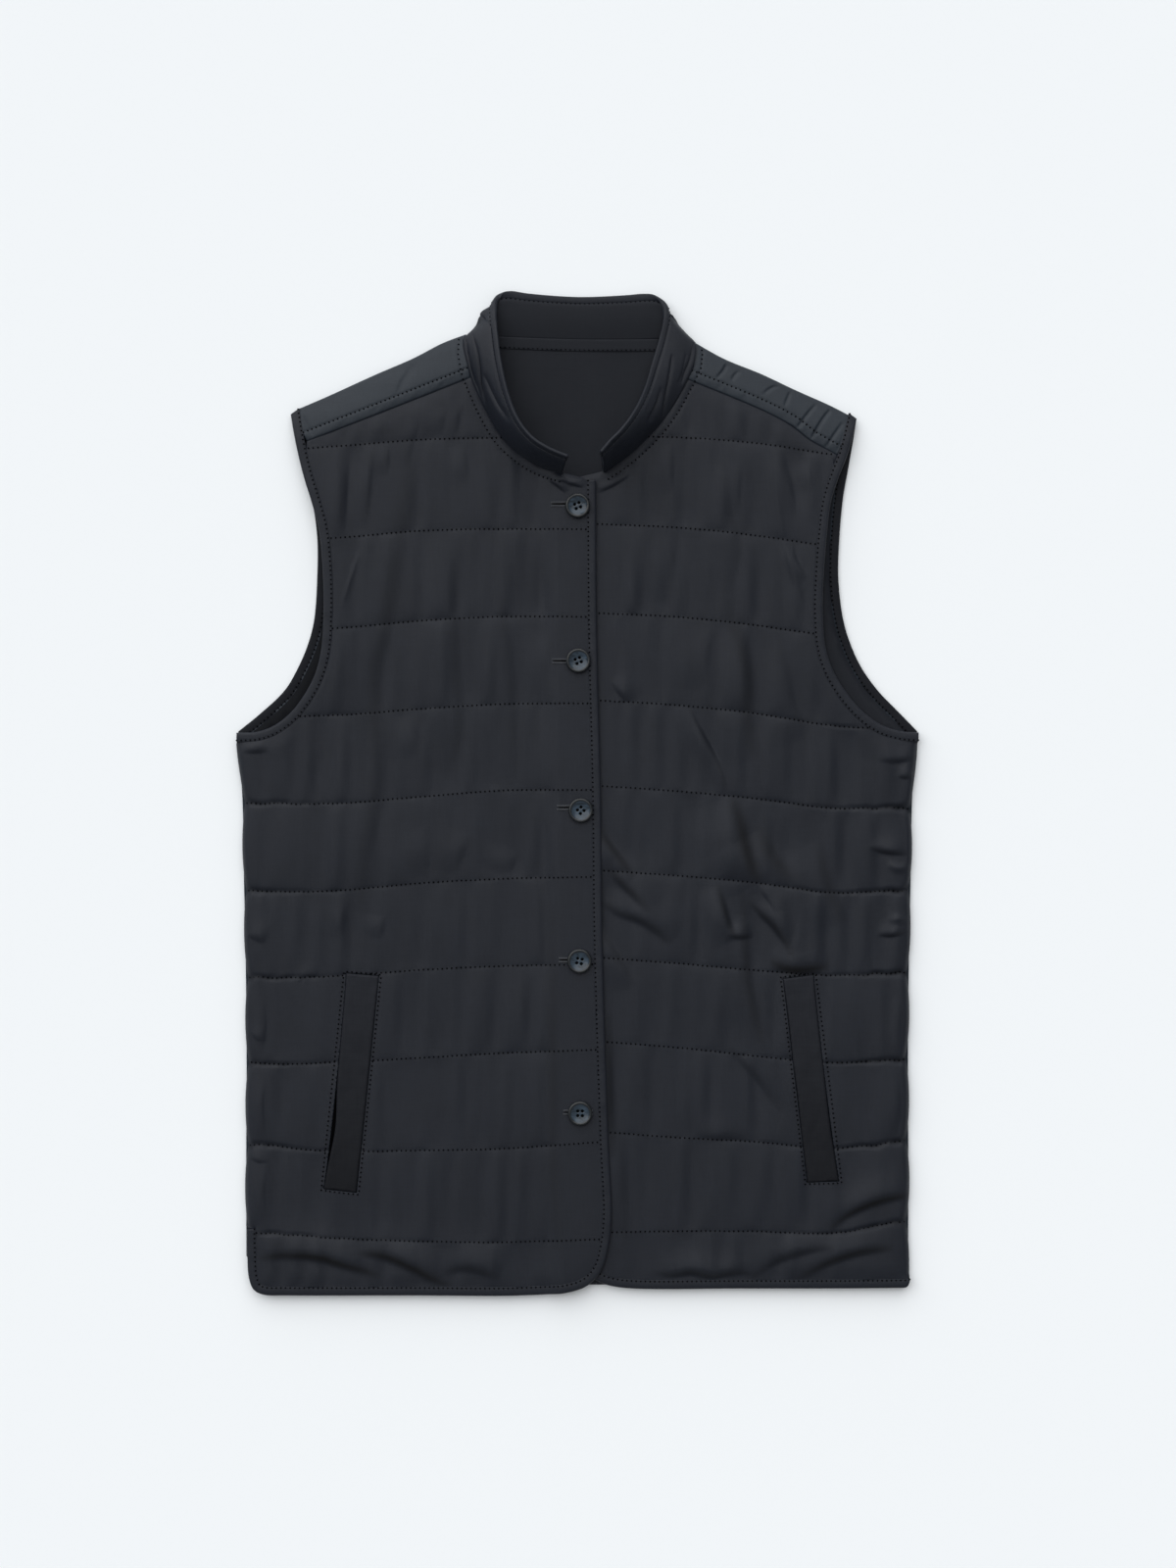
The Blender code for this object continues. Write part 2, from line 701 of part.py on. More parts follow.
SETBACK = BINDING_WIDTH + GAP
right_edge = smooth_run(RIGHT_FRONT_EDGE, BINDING_SPACING)
left_edge = smooth_run(LEFT_FRONT_EDGE, BINDING_SPACING)
right_armhole_front = smooth_run(RIGHT_ARMHOLE_FRONT, BINDING_SPACING)
left_armhole_front = smooth_run(LEFT_ARMHOLE_FRONT, BINDING_SPACING)
right_armhole_back = smooth_run(RIGHT_ARMHOLE_BACK, BINDING_SPACING)
left_armhole_back = smooth_run(LEFT_ARMHOLE_BACK, BINDING_SPACING)
back_hem = respaced(np.array(BACK_HEM), 0.03)
right_fold = smooth_run(RIGHT_SHOULDER_FOLD, 0.013)
left_fold = smooth_run(LEFT_SHOULDER_FOLD, 0.013)
right_seam = respaced(np.array(RIGHT_SHOULDER_SEAM), 0.02)
left_seam = smooth_run(LEFT_SHOULDER_SEAM, 0.02)
right_armhole_inner = moved_left(right_armhole_front, SETBACK)
left_armhole_inner = moved_left(left_armhole_front, SETBACK)

# Back: hem, left side, left armhole, left shoulder line, neck, then the right side the same way down
back_parts = [
    moved_left(back_hem, SETBACK),
    side_run(1.0, True),
    moved_left(left_armhole_back, SETBACK),
    left_fold,
    np.array(BACK_NECK),
    right_fold,
    moved_left(right_armhole_back, SETBACK),
    side_run(-1.0, False)[:-1],
]
back_outline = np.vstack(back_parts)
back_starts = np.cumsum([0] + [len(part) for part in back_parts])


def back_underside(points):
    """Flat where the vest rests, lifted a little at the rim."""
    edge = distance_to(points, closed(back_outline))
    return UNDERSIDE_LIFT * np.clip(1.0 - edge / (0.95 * UNDERSIDE_ROUND), 0.0, 1.0) ** 2


def flap_top(outline):
    def height(points):
        edge = distance_to(points, closed(outline))
        rise = np.sin(np.pi / 2 * np.clip(edge / EDGE_ROUND, 0.0, 1.0))
        return FRONT_REST + EDGE_WALL + (SHOULDER_WALL - EDGE_WALL) * rise

    return height


right_flap = np.vstack([
    moved_left(right_seam, -GAP / 2)[::-1],
    right_fold,
    right_armhole_inner[right_armhole_front[:, 1] > 0.2600][1:],
])
left_flap = np.vstack([
    moved_left(left_seam, -GAP / 2)[::-1],
    left_armhole_inner[left_armhole_front[:, 1] > 0.2520][:-1],
    left_fold,
])
flaps = []
for outline, fold, part in ((right_flap, right_fold, 5), (left_flap, left_fold, 3)):
    place = int(np.flatnonzero((outline == fold[0]).all(axis=1))[0])
    rows = inset_rows(outline, SHOULDER_ROW)
    heights = level(FRONT_REST), flap_top(outline)
    flaps.append((outline, *heights, (), rows, int(back_starts[part]), place, len(fold)))
body = (back_outline, back_underside, level(BACK_WALL), inset_rows(back_outline, UNDERSIDE_ROUND), ())
add("back", *rolled_back(body, flaps), SHELL)

lining_outline = np.vstack([
    moved_left(back_hem, SETBACK + LINING_FROM_BINDING),
    side_run(1.0, True) - (LINING_FROM_FOLDS, 0.0),
    moved_left(left_armhole_back, SETBACK + LINING_FROM_BINDING)[1:],
    moved_left(left_fold, LINING_FROM_FOLDS),
    moved_left(np.array(BACK_NECK), LINING_FROM_NECK)[1:-1],
    moved_left(right_fold, LINING_FROM_FOLDS),
    moved_left(right_armhole_back, SETBACK + LINING_FROM_BINDING)[:-1],
    side_run(-1.0, False)[:-1] + (LINING_FROM_FOLDS, 0.0),
])
lining_low = BACK_WALL + GAP
add("back_lining", *sheet(lining_outline, level(lining_low), level(lining_low + LINING_WALL))[:2], LINING)

# Neck tape, over the back neck seam allowance
tape_x = np.linspace(-TAPE_HALF_LENGTH, TAPE_HALF_LENGTH, 9)
neck_line = curve(BACK_NECK[1:-1], 8)[::-1]
tape_top = np.interp(tape_x, neck_line[:, 0], neck_line[:, 1]) - TAPE_FROM_NECK
tape_outline = np.vstack([
    np.column_stack([tape_x, tape_top - TAPE_WIDTH]),
    np.column_stack([tape_x, tape_top])[::-1],
])
tape_low = lining_low + LINING_WALL + GAP
add("back_neck_tape", *sheet(tape_outline, level(tape_low), level(tape_low + TAPE_WALL))[:2], LINING)

# Right front, on top at the middle
right_quilt = quilt_levels(RIGHT_QUILT_X, RIGHT_QUILT)
right_side = side_run(-1.0, False)
right_side = right_side[right_side[:, 1] > RIGHT_FRONT_EDGE[0][1] + 0.005]
corner_y = RIGHT_FRONT_EDGE[0][1] + GAP
right_outline = np.vstack([
    moved_left(right_edge, SETBACK),
    [RIGHT_FRONT_NECK_END],
    moved_left(neck_run(COLLAR[:COLLAR_SHOULDER_ROWS]), NECK_SETBACK),
    moved_left(right_seam, GAP / 2),
    right_armhole_inner[right_armhole_front[:, 1] < 0.2500],
    right_side,
    [(RIGHT_FRONT_EDGE[0][0], corner_y), (RIGHT_FRONT_EDGE[0][0] + SETBACK, corner_y)],
])


def right_top(points):
    def over_left(places):
        return places[:, 0] - under_edge_x(places[:, 1]) + OVERLAP_RAMP

    wall = front_wall(points, right_outline, right_quilt, RIGHT_FOLDS, RIGHT_WELT, over_left, OVERLAP_WALL)
    return right_rest(points) + wall


right_rows = quilt_rows(right_outline, right_quilt, RIGHT_FOLDS, RIGHT_WELT)
right_rows += welt_rows(RIGHT_WELT) + ramp_rows()
add("right_front", *sheet(right_outline, right_rest, right_top, ramp_rows(), right_rows)[:2], SHELL)

# Left front, underneath at the middle
left_quilt = quilt_levels(LEFT_QUILT_X, LEFT_QUILT)
left_outline = np.vstack([
    moved_left(left_edge, SETBACK),
    side_run(1.0, True),
    left_armhole_inner[left_armhole_front[:, 1] < 0.2400],
    moved_left(left_seam, GAP / 2),
    moved_left(neck_run(COLLAR[-COLLAR_SHOULDER_ROWS:]), NECK_SETBACK),
    [LEFT_FRONT_NECK_END],
])


def left_top(points):
    def under_right(places):
        down = (NECK_Y - places[:, 1]) / (NECK_Y - HEM_Y)
        cover = COVER_NECK_X + (COVER_HEM_X - COVER_NECK_X) * down
        return cover + COVER_MARGIN + FLATTEN_WIDTH - places[:, 0]

    wall = front_wall(points, left_outline, left_quilt, LEFT_FOLDS, LEFT_WELT, under_right, UNDERLAP_WALL)
    return FRONT_REST + wall


left_rows = quilt_rows(left_outline, left_quilt, LEFT_FOLDS, LEFT_WELT) + welt_rows(LEFT_WELT)
add("left_front", *sheet(left_outline, level(FRONT_REST), left_top, (), left_rows)[:2], SHELL)

# Bindings
for name, finished, bottom in (
    ("right_front_binding", right_edge, right_rest(right_edge)),
    ("left_front_binding", left_edge, np.full(len(left_edge), FRONT_REST)),
    ("back_hem_binding", back_hem, np.full(len(back_hem), BACK_BINDING_REST)),
    ("right_armhole_binding_front", right_armhole_front, np.full(len(right_armhole_front), FRONT_REST)),
    ("left_armhole_binding_front", left_armhole_front, np.full(len(left_armhole_front), FRONT_REST)),
    ("right_armhole_binding_back", right_armhole_back, np.full(len(right_armhole_back), BACK_BINDING_REST)),
    ("left_armhole_binding_back", left_armhole_back, np.full(len(left_armhole_back), BACK_BINDING_REST)),
):
    add(name, *strip(finished, bottom, BINDING_WIDTH, BINDING_HEIGHT), SHELL)

# Collar and its bound top edge
sections = curve(COLLAR, COLLAR_STEPS)
seam, top_edge = sections[:, None, :3], sections[:, None, 3:]
collar_height = np.linalg.norm(top_edge - seam, axis=2).mean()
collar_share = COLLAR_BINDING_START - COLLAR_BINDING_GAP / collar_height
share = np.linspace(0.0, collar_share, COLLAR_ROWS + 1)[None, :, None]
add("collar", *grid_wall(seam + (top_edge - seam) * share, COLLAR_WALL), SHELL)
share = np.linspace(COLLAR_BINDING_START, 1.0, 2)[None, :, None]
add("collar_binding", *grid_wall(seam + (top_edge - seam) * share, COLLAR_BINDING_WALL), SHELL)

# Pocket welts, sunk in the fronts
for name, corners in (("right_pocket_welt", RIGHT_WELT), ("left_pocket_welt", LEFT_WELT)):
    low = FRONT_REST + WELT_FLOOR + GAP
    add(name, *sheet(grown(corners, 0.0), level(low), level(low + WELT_WALL))[:2], SHELL)

# Buttons
button_low = FRONT_REST + OVERLAP_RISE + OVERLAP_WALL + GAP
face_radii, face_heights = np.array(BUTTON_FACE).T
angles = np.linspace(0.0, 2 * np.pi, BUTTON_SIDES, endpoint=False)
around = np.column_stack([np.cos(angles), np.sin(angles)])
hole_angles = np.linspace(0.0, 2 * np.pi, BUTTON_HOLE_SIDES, endpoint=False)
hole_around = np.column_stack([np.cos(hole_angles), np.sin(hole_angles)])
for number, (x, y, turn) in enumerate(BUTTONS, start=1):
    middle = np.array([x, y])

    def underside(points):
        radius = np.linalg.norm(points - middle, axis=1)
        past = (radius - BUTTON_FOOT_RADIUS) / (face_radii[0] - BUTTON_FOOT_RADIUS)
        return button_low + BUTTON_EDGE_LIFT * np.clip(past, 0.0, 1.0)

    def face(points):
        radius = np.linalg.norm(points - middle, axis=1)
        return button_low + np.interp(radius, face_radii[::-1], face_heights[::-1])

    corners = np.radians(turn + 45.0 + 90.0 * np.arange(4))
    centres = middle + BUTTON_HOLE_SPREAD * np.column_stack([np.cos(corners), np.sin(corners)])
    holes = [centre + BUTTON_HOLE_RADIUS * hole_around for centre in centres]
    rings = [closed(middle + radius * around) for radius in face_radii[1:]]
    rim = middle + face_radii[0] * around
    low_ring = [closed(middle + BUTTON_FOOT_RADIUS * around)]
    add(f"button_{number}", *sheet(rim, underside, face, low_ring, rings, holes)[:2], BUTTON)
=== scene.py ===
import bmesh
import bpy
import numpy as np
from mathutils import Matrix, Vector
from mathutils.geometry import delaunay_2d_cdt


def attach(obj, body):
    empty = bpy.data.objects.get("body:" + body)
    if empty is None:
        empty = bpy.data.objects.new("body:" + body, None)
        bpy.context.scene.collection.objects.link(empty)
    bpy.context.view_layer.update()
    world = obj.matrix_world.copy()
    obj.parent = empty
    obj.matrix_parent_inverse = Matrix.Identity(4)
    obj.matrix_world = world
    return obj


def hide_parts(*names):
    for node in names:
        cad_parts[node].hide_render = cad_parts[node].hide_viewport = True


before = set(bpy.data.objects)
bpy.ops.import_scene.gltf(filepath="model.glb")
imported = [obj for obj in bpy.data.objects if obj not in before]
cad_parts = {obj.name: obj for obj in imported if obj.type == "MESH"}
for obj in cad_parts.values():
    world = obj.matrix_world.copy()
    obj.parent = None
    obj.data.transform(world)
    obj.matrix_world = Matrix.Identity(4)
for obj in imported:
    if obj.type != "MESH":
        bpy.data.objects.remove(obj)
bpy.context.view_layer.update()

# Back. A padded panel of shell cloth that the vest lies on, cut in one with both shoulder parts.
# These roll over the shoulder line to the front, where they are sewn to the fronts and topstitched.
# Sizes are in metres, and a rest is a height above the floor.
BACK_WALL = 0.0034
RIM_LIFT = 0.0014
RIM_WIDTH = 0.0095
RIM_ROWS = (0.0025, 0.0055, 0.009)
RIM_CLEAR = 0.0015
REST = 0.0050
BIND = 0.0066
SEAM_TUCK = 0.0006
PANEL_EDGE = BIND - SEAM_TUCK
RUN_STEP = 0.003
LONG_STEP = 0.004
CORNER_POINTS = 4
# Spacing of the inner points, and how far they stay from the edge.
BACK_GRID = (0.008, 0.012)
SHOULDER_GRID = (0.0009, 0.0006)
SIDE = [
    (0.2503, 0.0352), (0.2468, 0.0032), (0.2452, -0.0659), (0.2438, -0.1350), (0.2433, -0.2041),
    (0.2436, -0.2732), (0.2434, -0.3530),
]
RIGHT_ARMHOLE_BACK = [
    (-0.2110, 0.2783), (-0.2081, 0.2610), (-0.2023, 0.2380), (-0.1951, 0.2135), (-0.1915, 0.1876),
    (-0.1915, 0.1573), (-0.1937, 0.1271), (-0.1980, 0.1098), (-0.2052, 0.0925), (-0.2153, 0.0752),
    (-0.2333, 0.0580), (-0.2498, 0.0446),
]
LEFT_ARMHOLE_BACK = [
    (0.2504, 0.0448), (0.2376, 0.0580), (0.2210, 0.0752), (0.2088, 0.0925), (0.2009, 0.1098),
    (0.1958, 0.1271), (0.1922, 0.1573), (0.1930, 0.1876), (0.1958, 0.2178), (0.1994, 0.2380),
    (0.2030, 0.2581), (0.2052, 0.2725),
]
RIGHT_ARMHOLE_FRONT = [
    (-0.2111, 0.2812), (-0.2063, 0.2545), (-0.2009, 0.2322), (-0.1951, 0.2135), (-0.1895, 0.1926),
    (-0.1868, 0.1656), (-0.1861, 0.1357), (-0.1878, 0.1053), (-0.1922, 0.0875), (-0.1994, 0.0731),
    (-0.2101, 0.0588), (-0.2227, 0.0490), (-0.2352, 0.0445), (-0.2502, 0.0438),
]
LEFT_ARMHOLE_FRONT = [
    (0.2507, 0.0440), (0.2388, 0.0448), (0.2245, 0.0490), (0.2102, 0.0588), (0.1976, 0.0731),
    (0.1878, 0.0892), (0.1824, 0.1053), (0.1801, 0.1321), (0.1815, 0.1692), (0.1833, 0.1907),
    (0.1860, 0.2122), (0.1922, 0.2319), (0.1985, 0.2480), (0.2062, 0.2773),
]
RIGHT_SHOULDER_FOLD = [
    (-0.0812, 0.3350), (-0.0979, 0.3287), (-0.1202, 0.3172), (-0.1469, 0.3057), (-0.1850, 0.2884),
    (-0.2053, 0.2797),
]
LEFT_SHOULDER_FOLD = [
    (0.1992, 0.2754), (0.1852, 0.2826), (0.1592, 0.2942), (0.1348, 0.3057), (0.1068, 0.3172),
    (0.0838, 0.3300),
]
RIGHT_SHOULDER_SEAM = [(-0.0782, 0.3046), (-0.1404, 0.2801), (-0.1984, 0.2575)]
LEFT_SHOULDER_SEAM = [
    (0.1910, 0.2472), (0.1707, 0.2588), (0.1582, 0.2686), (0.1403, 0.2784), (0.1134, 0.2901),
    (0.0806, 0.3033),
]
# Neck ends of the shoulder parts, beside the collar, and where these parts start at the armholes.
RIGHT_FLAP_NECK = [(-0.0800, 0.3120), (-0.0817, 0.3215)]
LEFT_FLAP_NECK = [(0.0863, 0.3230), (0.0853, 0.3130)]
RIGHT_FLAP_Y = 0.2620
LEFT_FLAP_Y = 0.2540
BACK_HEM = [(-0.2350, -0.3625), (0.2400, -0.3625)]
BACK_NECK = [
    (0.0822, 0.3312), (0.0790, 0.3326), (0.0440, 0.3319), (0.0007, 0.3319), (-0.0426, 0.3333),
    (-0.0766, 0.3350), (-0.0795, 0.3348),
]
# Shoulder parts: thin at the fold, full past the roll, and lower towards the seam.
FOLD_WALL = 0.0003
SHOULDER_LOFT = 0.0044
SHOULDER_ROLL = 0.024
SHOULDER_ROUND = 1.6
SHOULDER_DROP = 0.0011
SHOULDER_DROP_WIDTH = 0.004
ROLL_OUT = 0.0021
ROLL_ANGLES = (-60.0, -30.0, 0.0, 30.0, 60.0)
# Rows of topstitching: distance from the seam or neck end, then depth and width of the dip they draw.
TOPSTITCH = 0.0072
NECK_TOPSTITCH = 0.0058
TOPSTITCH_DIP = (0.0004, 0.0008)
SEAM_DIP = (0.0003, 0.0005)
# Unevenness. Columns: height, size of the waves along x and y, seed.
SHOULDER_WAVES = (0.00022, (0.016, 0.012), 3)
WAVES_EDGE = 0.004
DRAWN_WAVES = (0.00024, (0.0032, 0.011), 5)
DRAWN_STRIP = 0.0035
DRAWN_SLANT = np.array([(0.8, 0.6), (-0.6, 0.8)])
# Wrinkles of the shoulder parts, in millimetres. Columns: height, half width, run.
# A trough is steep towards the head and the right side, and slack on the other side.
SHOULDER_WRINKLES = [
    (-1.3, 0.7, [(110, 316), (107, 310), (102, 304)]),
    (-0.8, 0.8, [(119, 310), (115, 306), (113, 302)]),
    (-0.8, 0.8, [(150, 300), (142, 297), (136, 292)]),
    (-0.9, 0.7, [(157, 296), (154, 289), (152, 283)]),
    (-1.1, 0.7, [(176, 286), (169, 278), (163, 270), (161, 267)]),
    (-1.5, 0.7, [(187, 283), (180, 274), (174, 264), (171, 258)]),
    (-1.0, 0.7, [(195, 272), (188, 262), (182, 253)]),
    (-1.2, 0.7, [(198, 268), (194, 258), (190, 249)]),
    (-0.6, 1.8, [(-120, 314), (-128, 302), (-133, 290)]),
    (-0.7, 1.0, [(-203, 277), (-198, 268), (-194, 261)]),
]
MM = 1000.0
STEEP_SIDE = (-0.57, 0.82)
SLACK = 2.2
WRINKLE_REACH = 3.0
WRINKLE_FADE = 0.6
WRINKLES_EDGE = 0.003


def curve(points, steps):
    """Smooth run through the points, with this many steps from one to the next."""
    knots = np.asarray(points, float)
    knots = np.vstack([2 * knots[0] - knots[1], knots, 2 * knots[-1] - knots[-2]])
    run = []
    for a, b, c, d in zip(knots, knots[1:], knots[2:], knots[3:]):
        tb = np.linalg.norm(b - a) ** 0.5
        tc = tb + np.linalg.norm(c - b) ** 0.5
        td = tc + np.linalg.norm(d - c) ** 0.5
        for t in np.linspace(tb, tc, steps, endpoint=False):
            ab = ((tb - t) * a + t * b) / tb
            bc = ((tc - t) * b + (t - tb) * c) / (tc - tb)
            cd = ((td - t) * c + (t - tc) * d) / (td - tc)
            abc = ((tc - t) * ab + t * bc) / tc
            bcd = ((td - t) * bc + (t - tb) * cd) / (td - tb)
            run.append(((tc - t) * abc + (t - tb) * bcd) / (tc - tb))
    run.append(knots[-2])
    return np.array(run)


def respaced(run, spacing):
    """The run with its points at even distances of about the spacing."""
    steps = np.linalg.norm(np.diff(run, axis=0), axis=1)
    along = np.concatenate([[0.0], np.cumsum(steps)])
    count = max(2, round(along[-1] / spacing) + 1)
    even = np.linspace(0.0, along[-1], count)
    return np.column_stack([np.interp(even, along, column) for column in run.T])


def smooth_run(points, spacing=RUN_STEP):
    return respaced(curve(points, 12), spacing)


def beside(run, distance):
    """The run moved to the left of its travel."""
    along = np.gradient(run[:, :2], axis=0)
    side = np.column_stack([-along[:, 1], along[:, 0]])
    return run[:, :2] + distance * side / np.linalg.norm(side, axis=1, keepdims=True)


def closed(loop):
    return np.vstack([loop, loop[:1]])


def clipped(value):
    return np.clip(value, 0.0, 1.0)


def ease(value):
    """Smooth step from 0 to 1."""
    t = clipped(value)
    return t * t * (3.0 - 2.0 * t)


def arch(share, power=1.0):
    """Rises from 0 at both ends of a run to 1 in its middle."""
    return np.sin(np.pi * share) ** power


def swell(away, height, width):
    """A soft rise that is highest on a line and dies away on both sides."""
    return height * np.exp(-((away / width) ** 2))


def nearest(points, run):
    """Distance from each point to a run, the share of the run there, and whether it lies to its left."""
    away = np.full(len(points), np.inf)
    share = np.zeros(len(points))
    left = np.zeros(len(points), bool)
    for i, (a, b) in enumerate(zip(run, run[1:])):
        ab = b - a
        from_a = points - a
        t = clipped(from_a @ ab / (ab @ ab))
        d = np.hypot(from_a[:, 0] - t * ab[0], from_a[:, 1] - t * ab[1])
        closer = d < away
        away[closer] = d[closer]
        share[closer] = (i + t[closer]) / (len(run) - 1)
        left[closer] = (ab[0] * from_a[:, 1] > ab[1] * from_a[:, 0])[closer]
    return away, share, left


def from_run(points, run):
    return nearest(points, run)[0]


def from_edge(points, outline):
    return nearest(points, closed(outline))[0]


def close_to(points, run, reach):
    """Numbers of the points in the box of a run, widened by the reach."""
    near = (points > run.min(axis=0) - reach) & (points < run.max(axis=0) + reach)
    return np.flatnonzero(near.all(axis=1))


def is_inside(points, loop):
    """Which points lie inside a closed plan loop."""
    inside = np.zeros(len(points), bool)
    for (ax, ay), (bx, by) in zip(loop, np.roll(loop, -1, axis=0)):
        spans = (ay > points[:, 1]) != (by > points[:, 1])
        if spans.any():
            crossing = ax + (points[:, 1] - ay) * (bx - ax) / (by - ay)
            inside ^= spans & (points[:, 0] < crossing)
    return inside


def waves(points, height, size, seed):
    """Smooth unevenness of this height, with waves of this size along x and y."""
    cells = 64
    table = np.random.default_rng(seed).uniform(-1.0, 1.0, (cells, cells))
    place = points / np.asarray(size) + 131.7
    cell = np.floor(place).astype(int)
    part = ease(place - cell)
    total = np.zeros(len(points))
    for i in (0, 1):
        for j in (0, 1):
            across = part[:, 0] if i else 1.0 - part[:, 0]
            along = part[:, 1] if j else 1.0 - part[:, 1]
            total += across * along * table[(cell[:, 0] + i) % cells, (cell[:, 1] + j) % cells]
    return height * total


def laid_run(places):
    """Smooth run through listed places in millimetres, and whether its steep side is to the left."""
    run = curve(np.array(places) / MM, 5)
    along = run[-1] - run[0]
    return run, along[0] * STEEP_SIDE[1] > along[1] * STEEP_SIDE[0]


def wrinkled(points, wrinkles):
    """Height of listed wrinkles, steep on one side, slack on the other, and fading at both ends."""
    height = np.zeros(len(points))
    for tall, half_width, places in wrinkles:
        run, left_is_steep = laid_run(places)
        near = close_to(points, run, WRINKLE_REACH * SLACK * half_width / MM)
        if len(near):
            away, share, left = nearest(points[near], run)
            steep = left == (left_is_steep == (tall < 0.0))
            width = np.where(steep, half_width, SLACK * half_width)
            height[near] += swell(MM * away, tall / MM * arch(share, WRINKLE_FADE), width)
    return height


def level(height):
    """A flat side at one height."""
    return lambda points: np.full(len(points), height)


def grid_inside(outline, spacing, margin):
    """Staggered plan points inside an outline, each about this spacing from the next."""
    low, high = outline.min(axis=0), outline.max(axis=0)
    x = np.arange(low[0], high[0], spacing)
    rows = np.arange(low[1], high[1], 0.87 * spacing)
    points = []
    for i, y in enumerate(rows):
        points.append(np.column_stack([x + 0.5 * spacing * (i % 2), np.full_like(x, y)]))
    points = np.vstack(points)
    points = points[is_inside(points, outline)]
    return points[from_edge(points, outline) > margin]


def covered(loops, inner):
    """Plan points and triangles between the loops (outline first, then holes) through the inner points."""
    edges = []
    first = 0
    for loop in loops:
        edges += [(first + i, first + (i + 1) % len(loop)) for i in range(len(loop))]
        first += len(loop)
    given = np.vstack([*loops, np.asarray(inner, float).reshape(-1, 2)])
    found, _, faces, origins, _, _ = delaunay_2d_cdt([Vector(p) for p in given], edges, [], 1, 1e-7)
    place = np.zeros(len(found), int)
    ordered = [tuple(p) for p in given[:first]]
    for number, (point, origin) in enumerate(zip(found, origins)):
        if origin and min(origin) < first:
            place[number] = min(origin)
        else:
            place[number] = len(ordered)
            ordered.append(tuple(point))
    ordered = np.array(ordered)
    faces = place[np.array(faces)]
    a, b, c = (ordered[faces[:, i]] for i in range(3))
    turn = (b - a)[:, 0] * (c - a)[:, 1] - (b - a)[:, 1] * (c - a)[:, 0]
    faces[turn < 0] = faces[turn < 0][:, ::-1]
    for hole in loops[1:]:
        faces = faces[~is_inside(ordered[faces].mean(axis=1), hole)]
    return ordered, faces


def shell(loops, low, high, low_inner=(), high_inner=(), open_edges=()):
    """Vertices and faces of a closed wall between two heights, and where its upper points start."""
    below, below_faces = covered(loops, low_inner)
    above, above_faces = covered(loops, high_inner)
    start = len(below)
    vertices = np.vstack([np.column_stack([below, low(below)]), np.column_stack([above, high(above)])])
    faces = below_faces[:, ::-1].tolist() + (above_faces + start).tolist()
    first = 0
    for loop in loops:
        for i in range(len(loop)):
            a, b = first + i, first + (i + 1) % len(loop)
            if a not in open_edges:
                a, b = (b, a) if first else (a, b)
                faces.append((a, b, start + b, start + a))
        first += len(loop)
    return vertices, faces, start


def placed(name, data):
    """A new object in the scene."""
    made = bpy.data.objects.new(name, data)
    bpy.context.scene.collection.objects.link(made)
    return made


def made_piece(name, vertices, faces, finish, sharp=None):
    """A smooth object from one closed skin, with its faces turned outwards."""
    mesh = bpy.data.meshes.new(name)
    mesh.from_pydata(np.asarray(vertices).tolist(), [], faces)
    skin = bmesh.new()
    skin.from_mesh(mesh)
    bmesh.ops.recalc_face_normals(skin, faces=skin.faces[:])
    skin.to_mesh(mesh)
    skin.free()
    mesh.shade_smooth()
    if sharp:
        mesh.set_sharp_from_angle(angle=np.radians(sharp))
    mesh.materials.append(finish)
    return placed(name, mesh)


def wire(tree, target, inputs):
    """Gives the inputs of a node their values, or links them to other nodes' outputs."""
    for name, value in inputs.items():
        if isinstance(value, bpy.types.NodeSocket):
            tree.links.new(value, target.inputs[name])
        else:
            target.inputs[name].default_value = value


def node(tree, kind, inputs=None, **settings):
    """A node of a shader or geometry tree with its settings and inputs."""
    made = tree.nodes.new(kind)
    for name, value in settings.items():
        setattr(made, name, value)
    wire(tree, made, inputs or {})
    return made


def math(tree, operation, *terms, clamp=False):
    """The result of one sum in a node tree."""
    inputs = dict(enumerate(terms))
    return node(tree, "ShaderNodeMath", inputs, operation=operation, use_clamp=clamp).outputs[0]


def noise(tree, place, scale, **sizes):
    """Cloudy noise over a place, from 0 to 1."""
    sizes = {name.capitalize(): size for name, size in sizes.items()}
    return node(tree, "ShaderNodeTexNoise", {"Vector": place, "Scale": scale, **sizes}).outputs[0]


def stretched(tree, place, scale):
    return node(tree, "ShaderNodeMapping", {"Vector": place, "Scale": scale}).outputs[0]


def ranged(tree, value, low, high, **span):
    """A value from 0 to 1, or from another span, brought to the range from low to high."""
    span = {name.replace("_", " ").title(): end for name, end in span.items()}
    inputs = {"Value": value, "To Min": low, "To Max": high, **span}
    return node(tree, "ShaderNodeMapRange", inputs).outputs[0]


def mixed(tree, share, start, end):
    """Two colours mixed by a share."""
    return node(tree, "ShaderNodeMix", {0: share, 6: start, 7: end}, data_type="RGBA").outputs[2]


